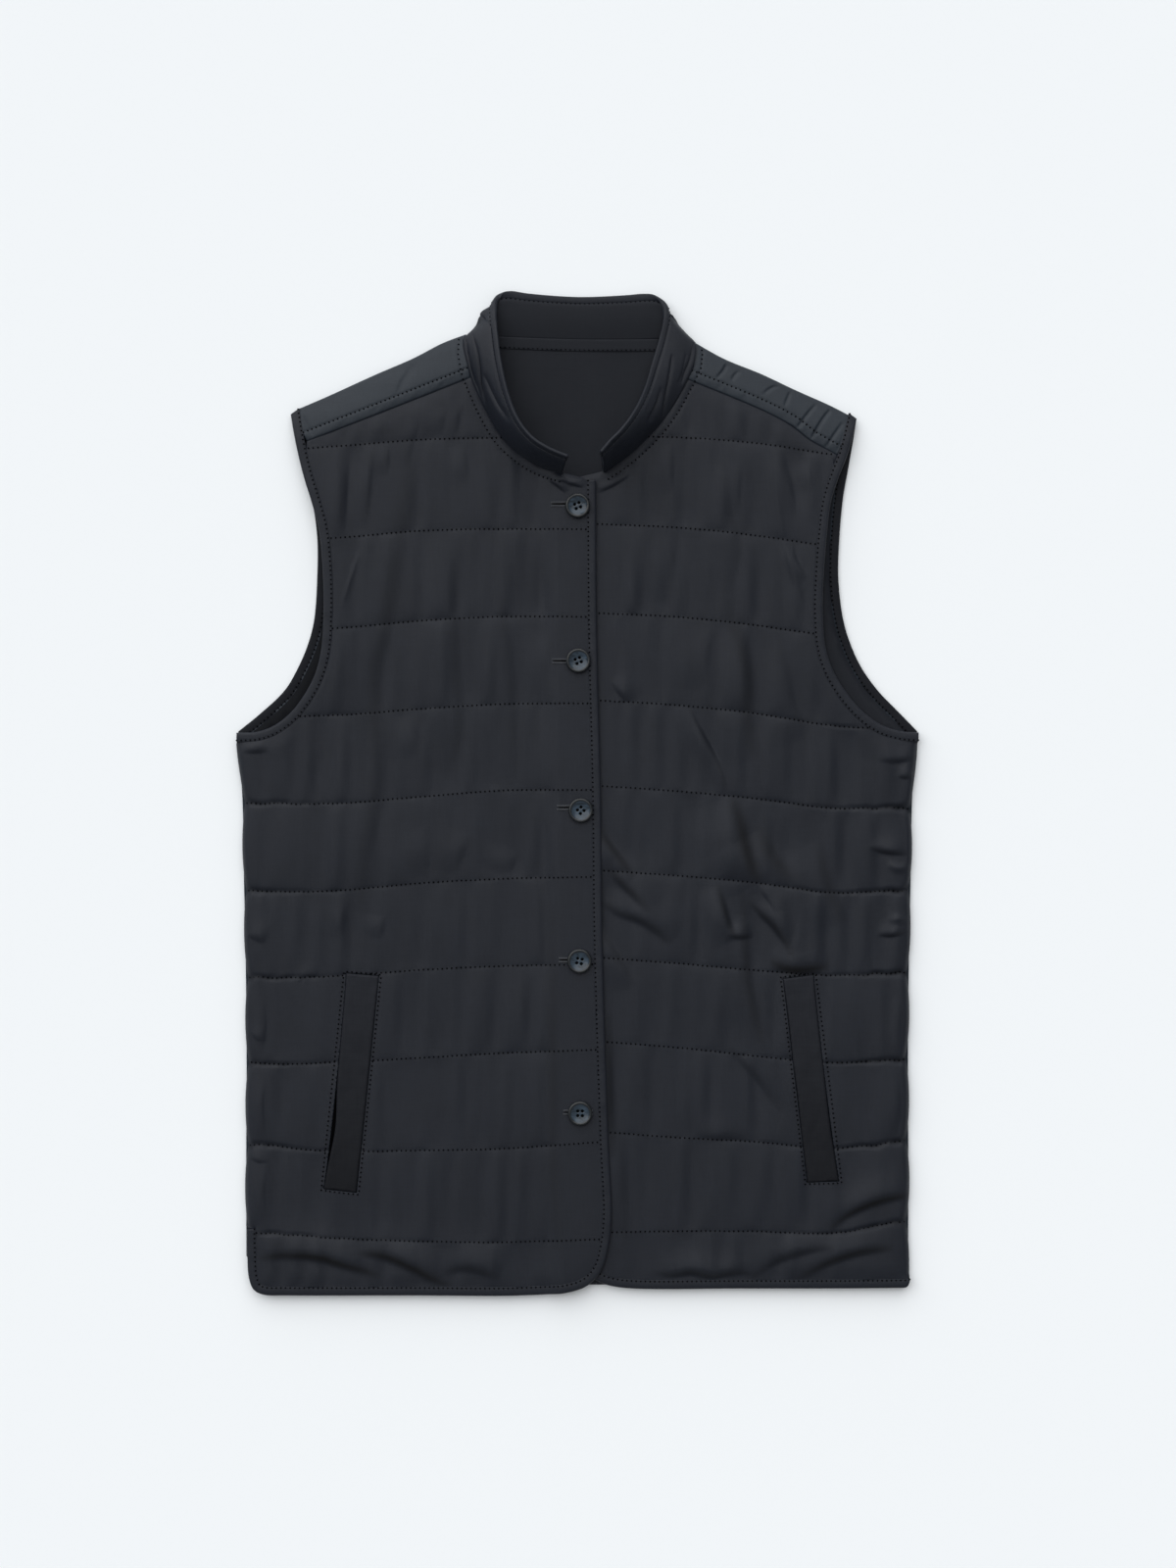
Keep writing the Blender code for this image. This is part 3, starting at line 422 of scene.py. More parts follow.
def woven_threads():
    """Shader group for a fine plain weave with slubs along both thread directions."""
    group = bpy.data.node_groups.new("woven_threads", "ShaderNodeTree")
    for name, start in (("Threads per metre", 1800.0), ("Slub", 0.5), ("Mottling", 0.3)):
        socket = group.interface.new_socket(name, in_out="INPUT", socket_type="NodeSocketFloat")
        socket.default_value = start
    for name in ("Shade", "Height"):
        group.interface.new_socket(name, in_out="OUTPUT", socket_type="NodeSocketFloat")
    given = node(group, "NodeGroupInput").outputs
    place = node(group, "ShaderNodeTexCoord").outputs["Object"]
    split = node(group, "ShaderNodeSeparateXYZ", {"Vector": place}).outputs
    turns = math(group, "MULTIPLY", given["Threads per metre"], 6.2832)
    warp, weft = (math(group, "SINE", math(group, "MULTIPLY", split[axis], turns)) for axis in "XY")
    weave = math(group, "MULTIPLY", warp, weft)
    slubs = []
    for stretch in ((1500.0, 70.0, 500.0), (70.0, 1500.0, 500.0)):
        slubs.append(noise(group, stretched(group, place, stretch), 1.0, detail=1.0))
    slub = math(group, "SUBTRACT", math(group, "ADD", *slubs), 1.0)
    slub = math(group, "MULTIPLY", slub, given["Slub"])
    cloud = math(group, "SUBTRACT", noise(group, place, 28.0, detail=3.0), 0.5)
    cloud = math(group, "MULTIPLY", cloud, given["Mottling"])
    shade = math(group, "MULTIPLY_ADD", weave, 0.12, math(group, "ADD", slub, cloud))
    shade = math(group, "ADD", shade, 0.5, clamp=True)
    height = math(group, "MULTIPLY_ADD", weave, 0.6, slub)
    wire(group, node(group, "NodeGroupOutput"), {"Shade": shade, "Height": height})
    return group


WOVEN = woven_threads()


def new_finish(name):
    """A material, its node tree and its shader."""
    made = bpy.data.materials.new(name)
    made.use_nodes = True
    return made, made.node_tree, made.node_tree.nodes["Principled BSDF"]


def cloth(name, dark, light, roughness, sheen, threads=1700.0, slub=0.55, bump=0.35, gloss=0.12):
    """Woven cloth with thread-fine relief, slightly varied colour, a soft sheen, and painted shade that
    darkens and dulls it.
    """
    made, tree, shader = new_finish(name)
    weave = {"Threads per metre": threads, "Slub": slub, "Mottling": 0.5}
    weave = node(tree, "ShaderNodeGroup", weave, node_tree=WOVEN).outputs
    # Painted shade: a piece's painted shade value darkens the colour towards a tenth of the dark tone and
    # makes the cloth duller.
    painted_shade = node(tree, "ShaderNodeAttribute", attribute_name="painted_shade").outputs["Fac"]
    tint = mixed(tree, weave["Shade"], (*dark, 1.0), (*light, 1.0))
    dull = ranged(tree, weave["Shade"], roughness + 0.06, roughness - 0.06)
    relief = {"Height": weave["Height"], "Strength": bump, "Distance": 0.0002}
    wire(tree, shader, {
        "Base Color": mixed(tree, painted_shade, tint, (*(0.1 * np.array(dark)), 1.0)),
        "Roughness": math(tree, "MULTIPLY_ADD", painted_shade, 0.35, dull),
        "Normal": node(tree, "ShaderNodeBump", relief).outputs[0],
        "Specular IOR Level": gloss,
        "Sheen Weight": sheen,
        "Sheen Roughness": 0.45,
        "Sheen Tint": (0.72, 0.80, 0.95, 1.0),
    })
    return made


def fix(piece, slot, *nodes):
    """Fixes a piece to the vest, in the place of its solids."""
    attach(piece, "root")
    if nodes:
        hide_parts(*nodes)


def lay(piece, slot, nodes):
    """Fixes a cloth piece to the vest, in the place of its solids."""
    fix(piece, slot, *nodes)


SHELL_CLOTH = cloth(
    "shell_cloth", (0.0045, 0.0061, 0.0104), (0.0084, 0.0112, 0.0186), roughness=0.48, sheen=0.03, gloss=0.24
)
# Painted light: a lighter, bluer copy of the shell cloth for the back, whose shoulder parts face the light.
LIT_BACK_CLOTH = cloth(
    "back_cloth_painted_light", (0.0086, 0.0130, 0.0196), (0.0144, 0.0214, 0.0310), roughness=0.46, sheen=0.03, gloss=0.28
)
right_armhole_back = smooth_run(RIGHT_ARMHOLE_BACK)
left_armhole_back = smooth_run(LEFT_ARMHOLE_BACK)
right_armhole_front = smooth_run(RIGHT_ARMHOLE_FRONT)
left_armhole_front = smooth_run(LEFT_ARMHOLE_FRONT)
right_armhole_line = beside(right_armhole_front, PANEL_EDGE)
left_armhole_line = beside(left_armhole_front, PANEL_EDGE)
right_fold = smooth_run(RIGHT_SHOULDER_FOLD)
left_fold = smooth_run(LEFT_SHOULDER_FOLD)
right_seam = respaced(np.array(RIGHT_SHOULDER_SEAM), RUN_STEP)
left_seam = smooth_run(LEFT_SHOULDER_SEAM)
back_hem = respaced(np.array(BACK_HEM), LONG_STEP)
back_neck = smooth_run(BACK_NECK, LONG_STEP)
left_side = smooth_run(SIDE)
right_side = left_side * (-1.0, 1.0)
back_right_side = right_side[:-CORNER_POINTS]
back_parts = {
    "hem": beside(back_hem, PANEL_EDGE),
    "left side": left_side[::-1],
    "left armhole": beside(left_armhole_back, PANEL_EDGE),
    "left fold": left_fold,
    "neck": back_neck,
    "right fold": right_fold,
    "right armhole": beside(right_armhole_back, PANEL_EDGE),
    "right side": back_right_side,
}
back_outline = np.vstack(list(back_parts.values()))
back_starts = dict(zip(back_parts, np.cumsum([0] + [len(part) for part in back_parts.values()])))


def back_underside(points):
    """Flat where the vest rests, lifted at the rim."""
    return RIM_LIFT * clipped(1.0 - from_edge(points, back_outline) / RIM_WIDTH) ** 2


def shoulder_top(outline, seam, fold, neck_end):
    """Height of a shoulder part, which rolls down to the fold and dips at its topstitching and seams."""
    def height(points):
        edge = from_edge(points, outline)
        from_seam = from_run(points, seam)
        from_neck = from_run(points, neck_end)
        rolled = 1.0 - (1.0 - clipped(from_run(points, fold) / SHOULDER_ROLL)) ** SHOULDER_ROUND
        wall = FOLD_WALL + SHOULDER_LOFT * rolled
        wall -= SHOULDER_DROP * np.exp(-from_seam / SHOULDER_DROP_WIDTH)
        wall += waves(points, *SHOULDER_WAVES) * ease(edge / WAVES_EDGE)
        wall += wrinkled(points, SHOULDER_WRINKLES) * ease(edge / WRINKLES_EDGE)
        drawn = waves(points @ DRAWN_SLANT, *DRAWN_WAVES)
        wall += swell(from_seam - 0.5 * TOPSTITCH, drawn, DRAWN_STRIP)
        wall -= swell(from_seam - TOPSTITCH, *TOPSTITCH_DIP)
        wall -= swell(from_neck - NECK_TOPSTITCH, *TOPSTITCH_DIP)
        return REST + wall - swell(from_seam, *SEAM_DIP)

    return height


right_flap = np.vstack([
    right_seam[::-1],
    RIGHT_FLAP_NECK,
    right_fold,
    right_armhole_line[right_armhole_front[:, 1] > RIGHT_FLAP_Y][1:],
])
left_flap = np.vstack([
    left_seam[::-1],
    left_armhole_line[left_armhole_front[:, 1] > LEFT_FLAP_Y][:-1],
    left_fold,
    LEFT_FLAP_NECK,
])
right_neck_end = np.vstack([right_seam[0], RIGHT_FLAP_NECK, right_fold[0]])
left_neck_end = np.vstack([left_fold[-1], LEFT_FLAP_NECK, left_seam[-1]])
right_shoulder_top = shoulder_top(right_flap, right_seam, right_fold, right_neck_end)
left_shoulder_top = shoulder_top(left_flap, left_seam, left_fold, left_neck_end)
shoulders = [
    ("left fold", left_flap, left_fold, left_shoulder_top),
    ("right fold", right_flap, right_fold, right_shoulder_top),
]
body_open = set()
for part, _, fold, _ in shoulders:
    body_open.update(range(back_starts[part], back_starts[part] + len(fold) - 1))
back_grid = grid_inside(back_outline, *BACK_GRID)
rim_rows = [beside(closed(back_outline), step)[:-1] for step in RIM_ROWS]
rim_rows = np.vstack([row[is_inside(row, back_outline)] for row in rim_rows])
rim_rows = rim_rows[from_edge(rim_rows, back_outline) > RIM_CLEAR]
vertices, faces, top = shell(
    [back_outline], back_underside, level(BACK_WALL), np.vstack([rim_rows, back_grid]), back_grid, body_open
)
for part, outline, fold, height in shoulders:
    count = len(fold)
    on_body = int(back_starts[part])
    on_flap = int(np.flatnonzero((outline == fold[0]).all(axis=1))[0])
    flap_open = set(range(on_flap, on_flap + count - 1))
    flap_grid = grid_inside(outline, *SHOULDER_GRID)
    more, more_faces, more_top = shell([outline], level(REST), height, (), flap_grid, flap_open)
    first = len(vertices)
    low_z = vertices[on_body : on_body + count, 2]
    high_z = more[more_top + on_flap : more_top + on_flap + count, 2]
    rings = [np.arange(on_body, on_body + count)]
    vertices = np.vstack([vertices, more])
    for angle in np.radians(ROLL_ANGLES):
        rings.append(np.arange(len(vertices), len(vertices) + count))
        ring_z = (high_z + low_z) / 2 + (high_z - low_z) / 2 * np.sin(angle)
        vertices = np.vstack([vertices, np.column_stack([beside(fold, -ROLL_OUT * np.cos(angle)), ring_z])])
    rings.append(np.arange(first + more_top + on_flap, first + more_top + on_flap + count))
    faces += [[first + i for i in face] for face in more_faces]
    inside_low = top + on_body + np.arange(count)
    inside_high = first + on_flap + np.arange(count)
    for i in range(count - 1):
        for lower, upper in zip(rings, rings[1:]):
            faces.append([lower[i], lower[i + 1], upper[i + 1], upper[i]])
        faces.append([inside_low[i + 1], inside_low[i], inside_high[i], inside_high[i + 1]])
    for i in (0, count - 1):
        end = [ring[i] for ring in rings] + [inside_high[i], inside_low[i]]
        faces.append(end if i == 0 else end[::-1])
# The back takes the lighter copy of the shell cloth: painted light on its shoulder parts.
back = made_piece("vest_back", vertices, faces, LIT_BACK_CLOTH)
lay(back, "shell_cloth", ["back"])

# Back lining. A smooth thin cloth, sewn in along the neck and armholes, that shows in the neck
# and past the front armhole edges. It lies loose, so it is a little wavy.
LINING_WALL = 0.0010
LINING_LOW = BACK_WALL + 0.0003
LINING_SIDE_INSET = 0.0025
LINING_NECK_INSET = 0.0018
LINING_HEM_INSET = BIND + 0.0013
LINING_ARMHOLE_INSET = BIND + 0.0005
LINING_SAG = 0.0001
LINING_EDGE = 0.01
LINING_GRID = (0.005, 0.003)
BROAD_LINING_WAVES = (0.00025, (0.030, 0.045), 11)
FINE_LINING_WAVES = (0.00012, (0.011, 0.016), 12)
# Painted shade inside the right armhole: the lining is darkened there, as if in the shade of the front edge.
ARMHOLE_SHADE = 0.7
ARMHOLE_SHADE_X = 0.165
ARMHOLE_SHADE_WIDTH = 0.02
LINING_WEAVE = {"threads": 2300.0, "slub": 0.35, "bump": 0.25}
LINING_CLOTH = cloth(
    "lining_cloth", (0.0082, 0.0097, 0.0136), (0.0121, 0.0138, 0.0184), roughness=0.58, sheen=0.02,
    **LINING_WEAVE,
)
lining_outline = np.vstack([
    beside(back_hem, LINING_HEM_INSET),
    left_side[::-1] - (LINING_SIDE_INSET, 0.0),
    beside(left_armhole_back, LINING_ARMHOLE_INSET)[1:],
    beside(left_fold, LINING_SIDE_INSET),
    beside(back_neck, LINING_NECK_INSET)[1:-1],
    beside(right_fold, LINING_SIDE_INSET),
    beside(right_armhole_back, LINING_ARMHOLE_INSET)[:-1],
    back_right_side + (LINING_SIDE_INSET, 0.0),
])


def paint(piece, name, values):
    """Keeps a value for each point of a piece, for its material to read."""
    piece.data.attributes.new(name, "FLOAT", "POINT").data.foreach_set("value", values)


def lining_top(points):
    wave = waves(points, *BROAD_LINING_WAVES) + waves(points, *FINE_LINING_WAVES)
    loose = ease(from_edge(points, lining_outline) / LINING_EDGE)
    return LINING_LOW + LINING_WALL + (wave - LINING_SAG) * loose


lining_grid = grid_inside(lining_outline, *LINING_GRID)
vertices, faces, _ = shell([lining_outline], level(LINING_LOW), lining_top, lining_grid[::5], lining_grid)
lining = made_piece("vest_back_lining", vertices, faces, LINING_CLOTH)
# Painted shade: the lining darkens towards the right armhole.
paint(lining, "painted_shade", ARMHOLE_SHADE * ease((-vertices[:, 0] - ARMHOLE_SHADE_X) / ARMHOLE_SHADE_WIDTH))
lay(lining, "lining_cloth", ["back_lining"])

# Neck tape. A narrow folded strip of the lining that covers the back neck seam, stitched down
# along its lower edge.
TAPE_HALF_LENGTH = 0.060
TAPE_WIDTH = 0.0090
TAPE_ABOVE_NECK = 0.0012
TAPE_LOW = 0.0048
TAPE_EDGE = 0.0050
TAPE_CROWN = 0.0002
TAPE_ROUND = 0.0014
TAPE_STITCH = 0.0011
TAPE_POINTS = 61
TAPE_GRID = (0.0009, 0.0004)
TAPE_STITCH_DIP = (0.0001, 0.0006)
tape_x = np.linspace(-TAPE_HALF_LENGTH, TAPE_HALF_LENGTH, TAPE_POINTS)
neck_line = curve(BACK_NECK[1:-1], 8)[::-1]
tape_top_y = np.interp(tape_x, neck_line[:, 0], neck_line[:, 1]) + TAPE_ABOVE_NECK
tape_low_run = np.column_stack([tape_x, tape_top_y - TAPE_WIDTH])
tape_outline = np.vstack([tape_low_run, np.column_stack([tape_x, tape_top_y])[::-1]])
tape_stitch_run = beside(tape_low_run, TAPE_STITCH)


def quarter_round(share):
    """Rises from 0 steeply at first, and levels off at 1."""
    return np.sin(np.pi / 2 * clipped(share))


def tape_top(points):
    rise = TAPE_CROWN * quarter_round(from_edge(points, tape_outline) / TAPE_ROUND)
    return TAPE_EDGE + rise - swell(from_run(points, tape_stitch_run), *TAPE_STITCH_DIP)


tape_grid = grid_inside(tape_outline, *TAPE_GRID)
vertices, faces, _ = shell([tape_outline], level(TAPE_LOW), tape_top, (), tape_grid)
tape = made_piece("vest_neck_tape", vertices, faces, LINING_CLOTH)
lay(tape, "lining_cloth", ["back_neck_tape"])

# Fronts. Two quilted panels of shell cloth over thin wadding, sewn through in rows across. The left
# one lies underneath at the middle, and the right one climbs onto it along its hidden edge.
SEWN_WALL = 0.0036
EDGE_WALL = 0.0031
EDGE_ROUND = 0.012
BOUND_DIP = (0.0001, 0.0006)
NECK_STITCH = 0.0072
NECK_ROLL = (0.0006, 0.0022)
NECK_STITCH_DIP = (0.0004, 0.0009)
# Side seams, where the panel rolls down to the back, and the quilt seams gather it and pull it in.
SIDE_WALL = 0.0009
THINNEST = 0.0008
SIDE_ROUND = 0.016
SIDE_SEAM = 0.0035
SIDE_DROP = 0.0035
SIDE_GATHER = 0.036
SCALLOP = 0.0028
SCALLOP_POWER = 0.7
SCALLOP_MIDDLE = 0.75
# Wadding: how it swells between the seams, and the puckers in it. Columns: height, size of the waves.
LOFT = 0.0002
CROWN = 0.0003
PUFF_WIDTH = 0.0060
CHANNEL_SHIFT = 0.37
LOFT_WAVES = (0.3, (0.05, 0.065))
LONG_PUCKERS = (0.0007, (0.013, 0.11))
CHANNEL_PUCKERS = (0.0010, (0.0085, 0.06))
# Quilt seams: small gathers on both sides, and how far the thread draws them down.
SEAM_GATHERS = 0.00018
SIDE_GATHERS = 0.00070
GATHER_WAVES = (1.0, (0.0040, 0.02))
GATHER_WIDTH = 0.0045
GATHER_SHIFT = 2.5
SEAM_DRAW = 0.00007
SEAM_DRAW_WAVES = (0.8, (0.022, 0.3))
SIDE_DRAW_MIDDLE = 0.8
SIDE_DRAW_WAVES = (0.6, (0.009, 0.3))
SEAM_WIDTH = 0.0010
SIDE_SEAM_WIDENS = 0.0012
# Folds: how they are raised, widened and moved from the table, their soft foot, far side and fading ends.
FOLD_RISE = 1.12
FOLD_WIDTH = 1.15
FOLD_SHIFT = 0.6
FOLD_SOFT = 0.22
FOLD_DIP = 0.20
FOLD_FOOT = 2.5
FOLD_BACK = 4.6
FOLD_FADE = 1.3
FOLD_REACH = 11.0
FOLD_AT_SEAM = 0.65
FOLD_EDGE = 0.003
# Painted shade inside drawn-in seams and creases, where the cloth is also made duller.
SEAM_SHADE = 200.0
SEAM_SHADE_WIDTH = 0.0014
SEAM_SHADE_MIDDLE = 0.75
SEAM_SHADE_WAVES = (0.5, (0.007, 0.3))
SHADE_WIDTH = 0.75
SHADE_DEPTH = 4.6
SHADE_REACH = 3.0
# Overlap of the fronts, which lie flatter there, and the loose edges at the armholes.
NECK_Y = 0.2300
HEM_Y = -0.3696
UNDER_EDGE_NECK_X = -0.0122
UNDER_EDGE_HEM_X = -0.0080
UNDERLAP_NECK_X = 0.0322
UNDERLAP_WIDENS = 0.0116
UNDERLAP_WALL = 0.0034
OVERLAP_WALL = 0.0036
OVERLAP_RISE = 0.0040
OVERLAP_RAMP = 0.0150
OVERLAP_CLEAR = 0.0015
OVERLAP_FLAT = 0.017
FLAT_RAMP = 0.016
ARMHOLE_LIFT = 0.0030
ARMHOLE_LIFT_WIDTH = 0.03
ARMHOLE_LIFT_POWER = 0.7
RIGHT_FRONT_EDGE = [
    (-0.2428, -0.3208), (-0.2424, -0.3395), (-0.2412, -0.3568), (-0.2376, -0.3656), (-0.2304, -0.3691),
    (-0.2150, HEM_Y), (-0.1200, HEM_Y), (-0.0400, HEM_Y), (-0.0066, -0.3668), (0.0078, -0.3615),
    (0.0176, -0.3508), (0.0230, -0.3329), (0.0253, -0.3096), (0.0230, -0.2560), (0.0185, -0.1076),
    (0.0173, -0.0018), (0.0144, 0.1228), (0.0137, 0.2285),
]
LEFT_FRONT_EDGE = [
    (UNDER_EDGE_NECK_X, 0.2290), (-0.0100, -0.0700), (UNDER_EDGE_HEM_X, -0.3150), (-0.0045, -0.3370),
    (0.0060, -0.3530), (0.0180, -0.3605), (0.0340, -0.3640), (0.1200, -0.3645), (0.2000, -0.3644),
    (0.2442, -0.3640),
]
RIGHT_HEM_CORNER = (-0.2428, -0.3205)
HEM_CORNER_CLEAR = 0.002
RIGHT_NECK_END = (0.0052, 0.2302)
LEFT_NECK_END = (-0.0035, 0.2302)
RIGHT_ARMHOLE_TOP = 0.2500
LEFT_ARMHOLE_TOP = 0.2400
# Neck seam of each front, beside the collar.
RIGHT_NECK = [
    (-0.0108, 0.2342), (-0.0250, 0.2391), (-0.0400, 0.2478), (-0.0535, 0.2600), (-0.0648, 0.2785),
    (-0.0757, 0.3030),
]
LEFT_NECK = [
    (0.0786, 0.3022), (0.0680, 0.2830), (0.0580, 0.2690), (0.0440, 0.2545), (0.0310, 0.2438),
    (0.0190, 0.2357),
]
# Quilt lines from the neck to the hem. Columns: y at the five places across, front edge first.
RIGHT_QUILT_X = (0.0115, -0.0533, -0.1145, -0.1793, -0.2441)
RIGHT_QUILT = [
    (0.2603, 0.2603, 0.2588, 0.2538, 0.2502),
    (0.1926, 0.1933, 0.1920, 0.1865, 0.1840),
    (0.1285, 0.1290, 0.1259, 0.1202, 0.1177),
    (0.0652, 0.0648, 0.0612, 0.0565, 0.0558),
    (0.0018, 0.0014, -0.0032, -0.0083, -0.0079),
    (-0.0619, -0.0634, -0.0666, -0.0724, -0.0720),
    (-0.1260, -0.1274, -0.1303, -0.1350, -0.1368),
    (-0.1887, -0.1912, -0.1948, -0.1982, -0.1994),
    (-0.2564, -0.2614, -0.2628, -0.2632, -0.2581),
    (-0.3275, -0.3301, -0.3294, -0.3269, -0.3218),
]
LEFT_QUILT_X = (0.0173, 0.0727, 0.1303, 0.1879, 0.2441)
LEFT_QUILT = [
    (0.2610, 0.2606, 0.2565, 0.2480, 0.2437),
    (0.1969, 0.1944, 0.1887, 0.1804, 0.1775),
    (0.1314, 0.1288, 0.1228, 0.1148, 0.1120),
    (0.0673, 0.0640, 0.0580, 0.0490, 0.0464),
    (0.0047, 0.0009, -0.0045, -0.0115, -0.0112),
    (-0.0572, -0.0611, -0.0662, -0.0734, -0.0713),
    (-0.1213, -0.1254, -0.1305, -0.1344, -0.1321),
    (-0.1830, -0.1872, -0.1933, -0.1986, -0.1955),
    (-0.2491, -0.2533, -0.2565, -0.2610, -0.2565),
    (-0.3231, -0.3221, -0.3222, -0.3235, -0.3139),
]
CHANNEL = 0.0650
QUILT_PAST = 0.014
QUILT_POINTS = 400
# The sewn lines wander a little, and more towards the sides.
STRAY = 0.0001
SIDE_STRAY = 0.0014
SIDE_STRAY_WIDTH = 0.03
SIDE_X = 0.24
STRAY_WAVES = (1.0, (0.009, 0.5), 17)
STRAY_SHIFT = 7.0
# Corners of the pocket welts. Their open edge bows in, and the panel is thin below them.
RIGHT_WELT = np.array([(-0.1860, -0.2910), (-0.1620, -0.2938), (-0.1457, -0.1348), (-0.1695, -0.1328)])
LEFT_WELT = np.array([(0.1690, -0.2863), (0.1922, -0.2854), (0.1734, -0.1341), (0.1511, -0.1368)])
RIGHT_OPEN_EDGE = 3
LEFT_OPEN_EDGE = 1
WELT_BOW = 0.0013
WELT_BOW_POWER = 0.6
WELT_STEP = 0.0013
GAPE_PLACE = 0.72
GAPE_LENGTH = 0.15
WELT_SLOPE = 0.0003
POCKET_FLOOR = 0.0010
# Distances of the rows of points beside seams, edges, neck stitches and welts. Beside folds they are
# counted in widths of the fold.
SEAM_ROWS = np.array((0.0, 0.0006, 0.0013, 0.0022, 0.0034, 0.0050, 0.0070))
EDGE_ROWS = (0.0008, 0.0018, 0.0032)
NECK_STITCH_ROWS = (-0.0012, -0.0006, 0.0, 0.0006, 0.0012)
WELT_ROWS = (-0.0006, 0.0, 0.0001, 0.0002, 0.0003, 0.0005, 0.0012, 0.0020)
FOLD_ROWS = np.array((-2.0, -1.2, -0.6, -0.25, 0.0, 0.25, 0.6, 1.2, 2.0))
FOLD_STEP = 0.0012
COLUMN_STEP = 0.0019
ROW_STEP = 0.0026
CLOSEST = 0.0005
EDGE_CLEAR = 0.0042
ROW_CLEAR = 0.0006
UNDERSIDE_GRID = (0.006, 0.0025)
# Creases of each front, in millimetres. Columns: height, half width, run.
RIGHT_CREASES = [
    (-1.2, 2.4, [(-97, 283), (-99, 272), (-100, 261)]),
    (-1.2, 2.2, [(-84, 288), (-88, 272), (-90, 257)]),
    (-1.1, 2.2, [(-117, 274), (-121, 258), (-126, 236)]),
    (-3.0, 5.5, [(-19, -80), (-18, -150), (-18, -215), (-17, -285), (-13, -338)]),
    (-1.1, 1.6, [(-231, -148), (-229, -170), (-232, -193)]),
    (-1.1, 1.6, [(-230, -210), (-231, -232), (-229, -252)]),
    (-1.0, 1.6, [(-229, -273), (-230, -295), (-229, -314)]),
    (-1.2, 1.2, [(-206, -140), (-199, -135), (-189, -134)]),
    (-1.1, 1.4, [(-242, -173), (-236, -180), (-229, -184)]),
    (-1.2, 1.4, [(-244, -262), (-236, -270), (-226, -271)]),
    (-1.5, 2.2, [(-168, 255), (-170, 222), (-172, 190)]),
    (-1.8, 2.5, [(-150, 255), (-153, 222), (-156, 192)]),
    (-1.0, 2.0, [(-139, 257), (-139, 244), (-140, 232)]),
    (-2.8, 7.0, [(-123, 255), (-128, 201), (-141, 122), (-148, 91), (-148, 57), (-149, 25)]),
    (-2.4, 6.5, [(-148, 57), (-149, 25), (-149, -6), (-156, -48), (-157, -72), (-157, -100)]),
    (-1.2, 2.5, [(-84, 256), (-82, 241), (-80, 227)]),
    (-2.3, 5.2, [(-89, 189), (-91, 136), (-89, 88), (-87, 43), (-95, 11)]),
    (-2.2, 5.2, [(-60, 191), (-56, 137), (-54, 124), (-49, 78), (-47, 34), (-43, 7)]),
    (-1.0, 2.5, [(-189, 55), (-188, 35), (-188, 14)]),
    (-1.3, 3.7, [(-119, 57), (-119, 41), (-118, 25)]),
    (-1.3, 3.7, [(-112, -25), (-111, -44), (-111, -63)]),
    (-1.6, 3.7, [(-80, -30), (-86, -46), (-92, -62)]),
    (-1.3, 3.7, [(-45, -43), (-49, -53), (-53, -62)]),
    (-1.0, 2.5, [(-172, -81), (-172, -95), (-174, -108)]),
    (-1.0, 2.5, [(-142, -90), (-143, -99), (-145, -108)]),
    (0.7, 1.6, [(-160, 179), (-163, 170), (-169, 151), (-175, 132)]),
    (-1.9, 1.8, [(-247, 30), (-237, 30), (-225, 31)]),
    (-1.8, 2.0, [(-244, -104), (-236, -107), (-229, -111)]),
    (-2.8, 1.1, [(-22, 230), (-15, 225), (-8, 219)]),
    (-2.3, 1.0, [(-16, 230), (-5, 226), (7, 223)]),
    (-4.4, 3.6, [
        (-235, -342), (-220, -340), (-202, -340), (-187, -342), (-171, -347), (-157, -351), (-143, -355),
    ]),
    (-4.4, 3.6, [(-162, -338), (-148, -339), (-134, -343), (-119, -350), (-106, -357), (-92, -363)]),
    (-3.0, 3.4, [(-100, -353), (-84, -349), (-68, -352), (-56, -357)]),
    (-1.6, 3.0, [(-21, 118), (-22, 95), (-23, 70)]),
]
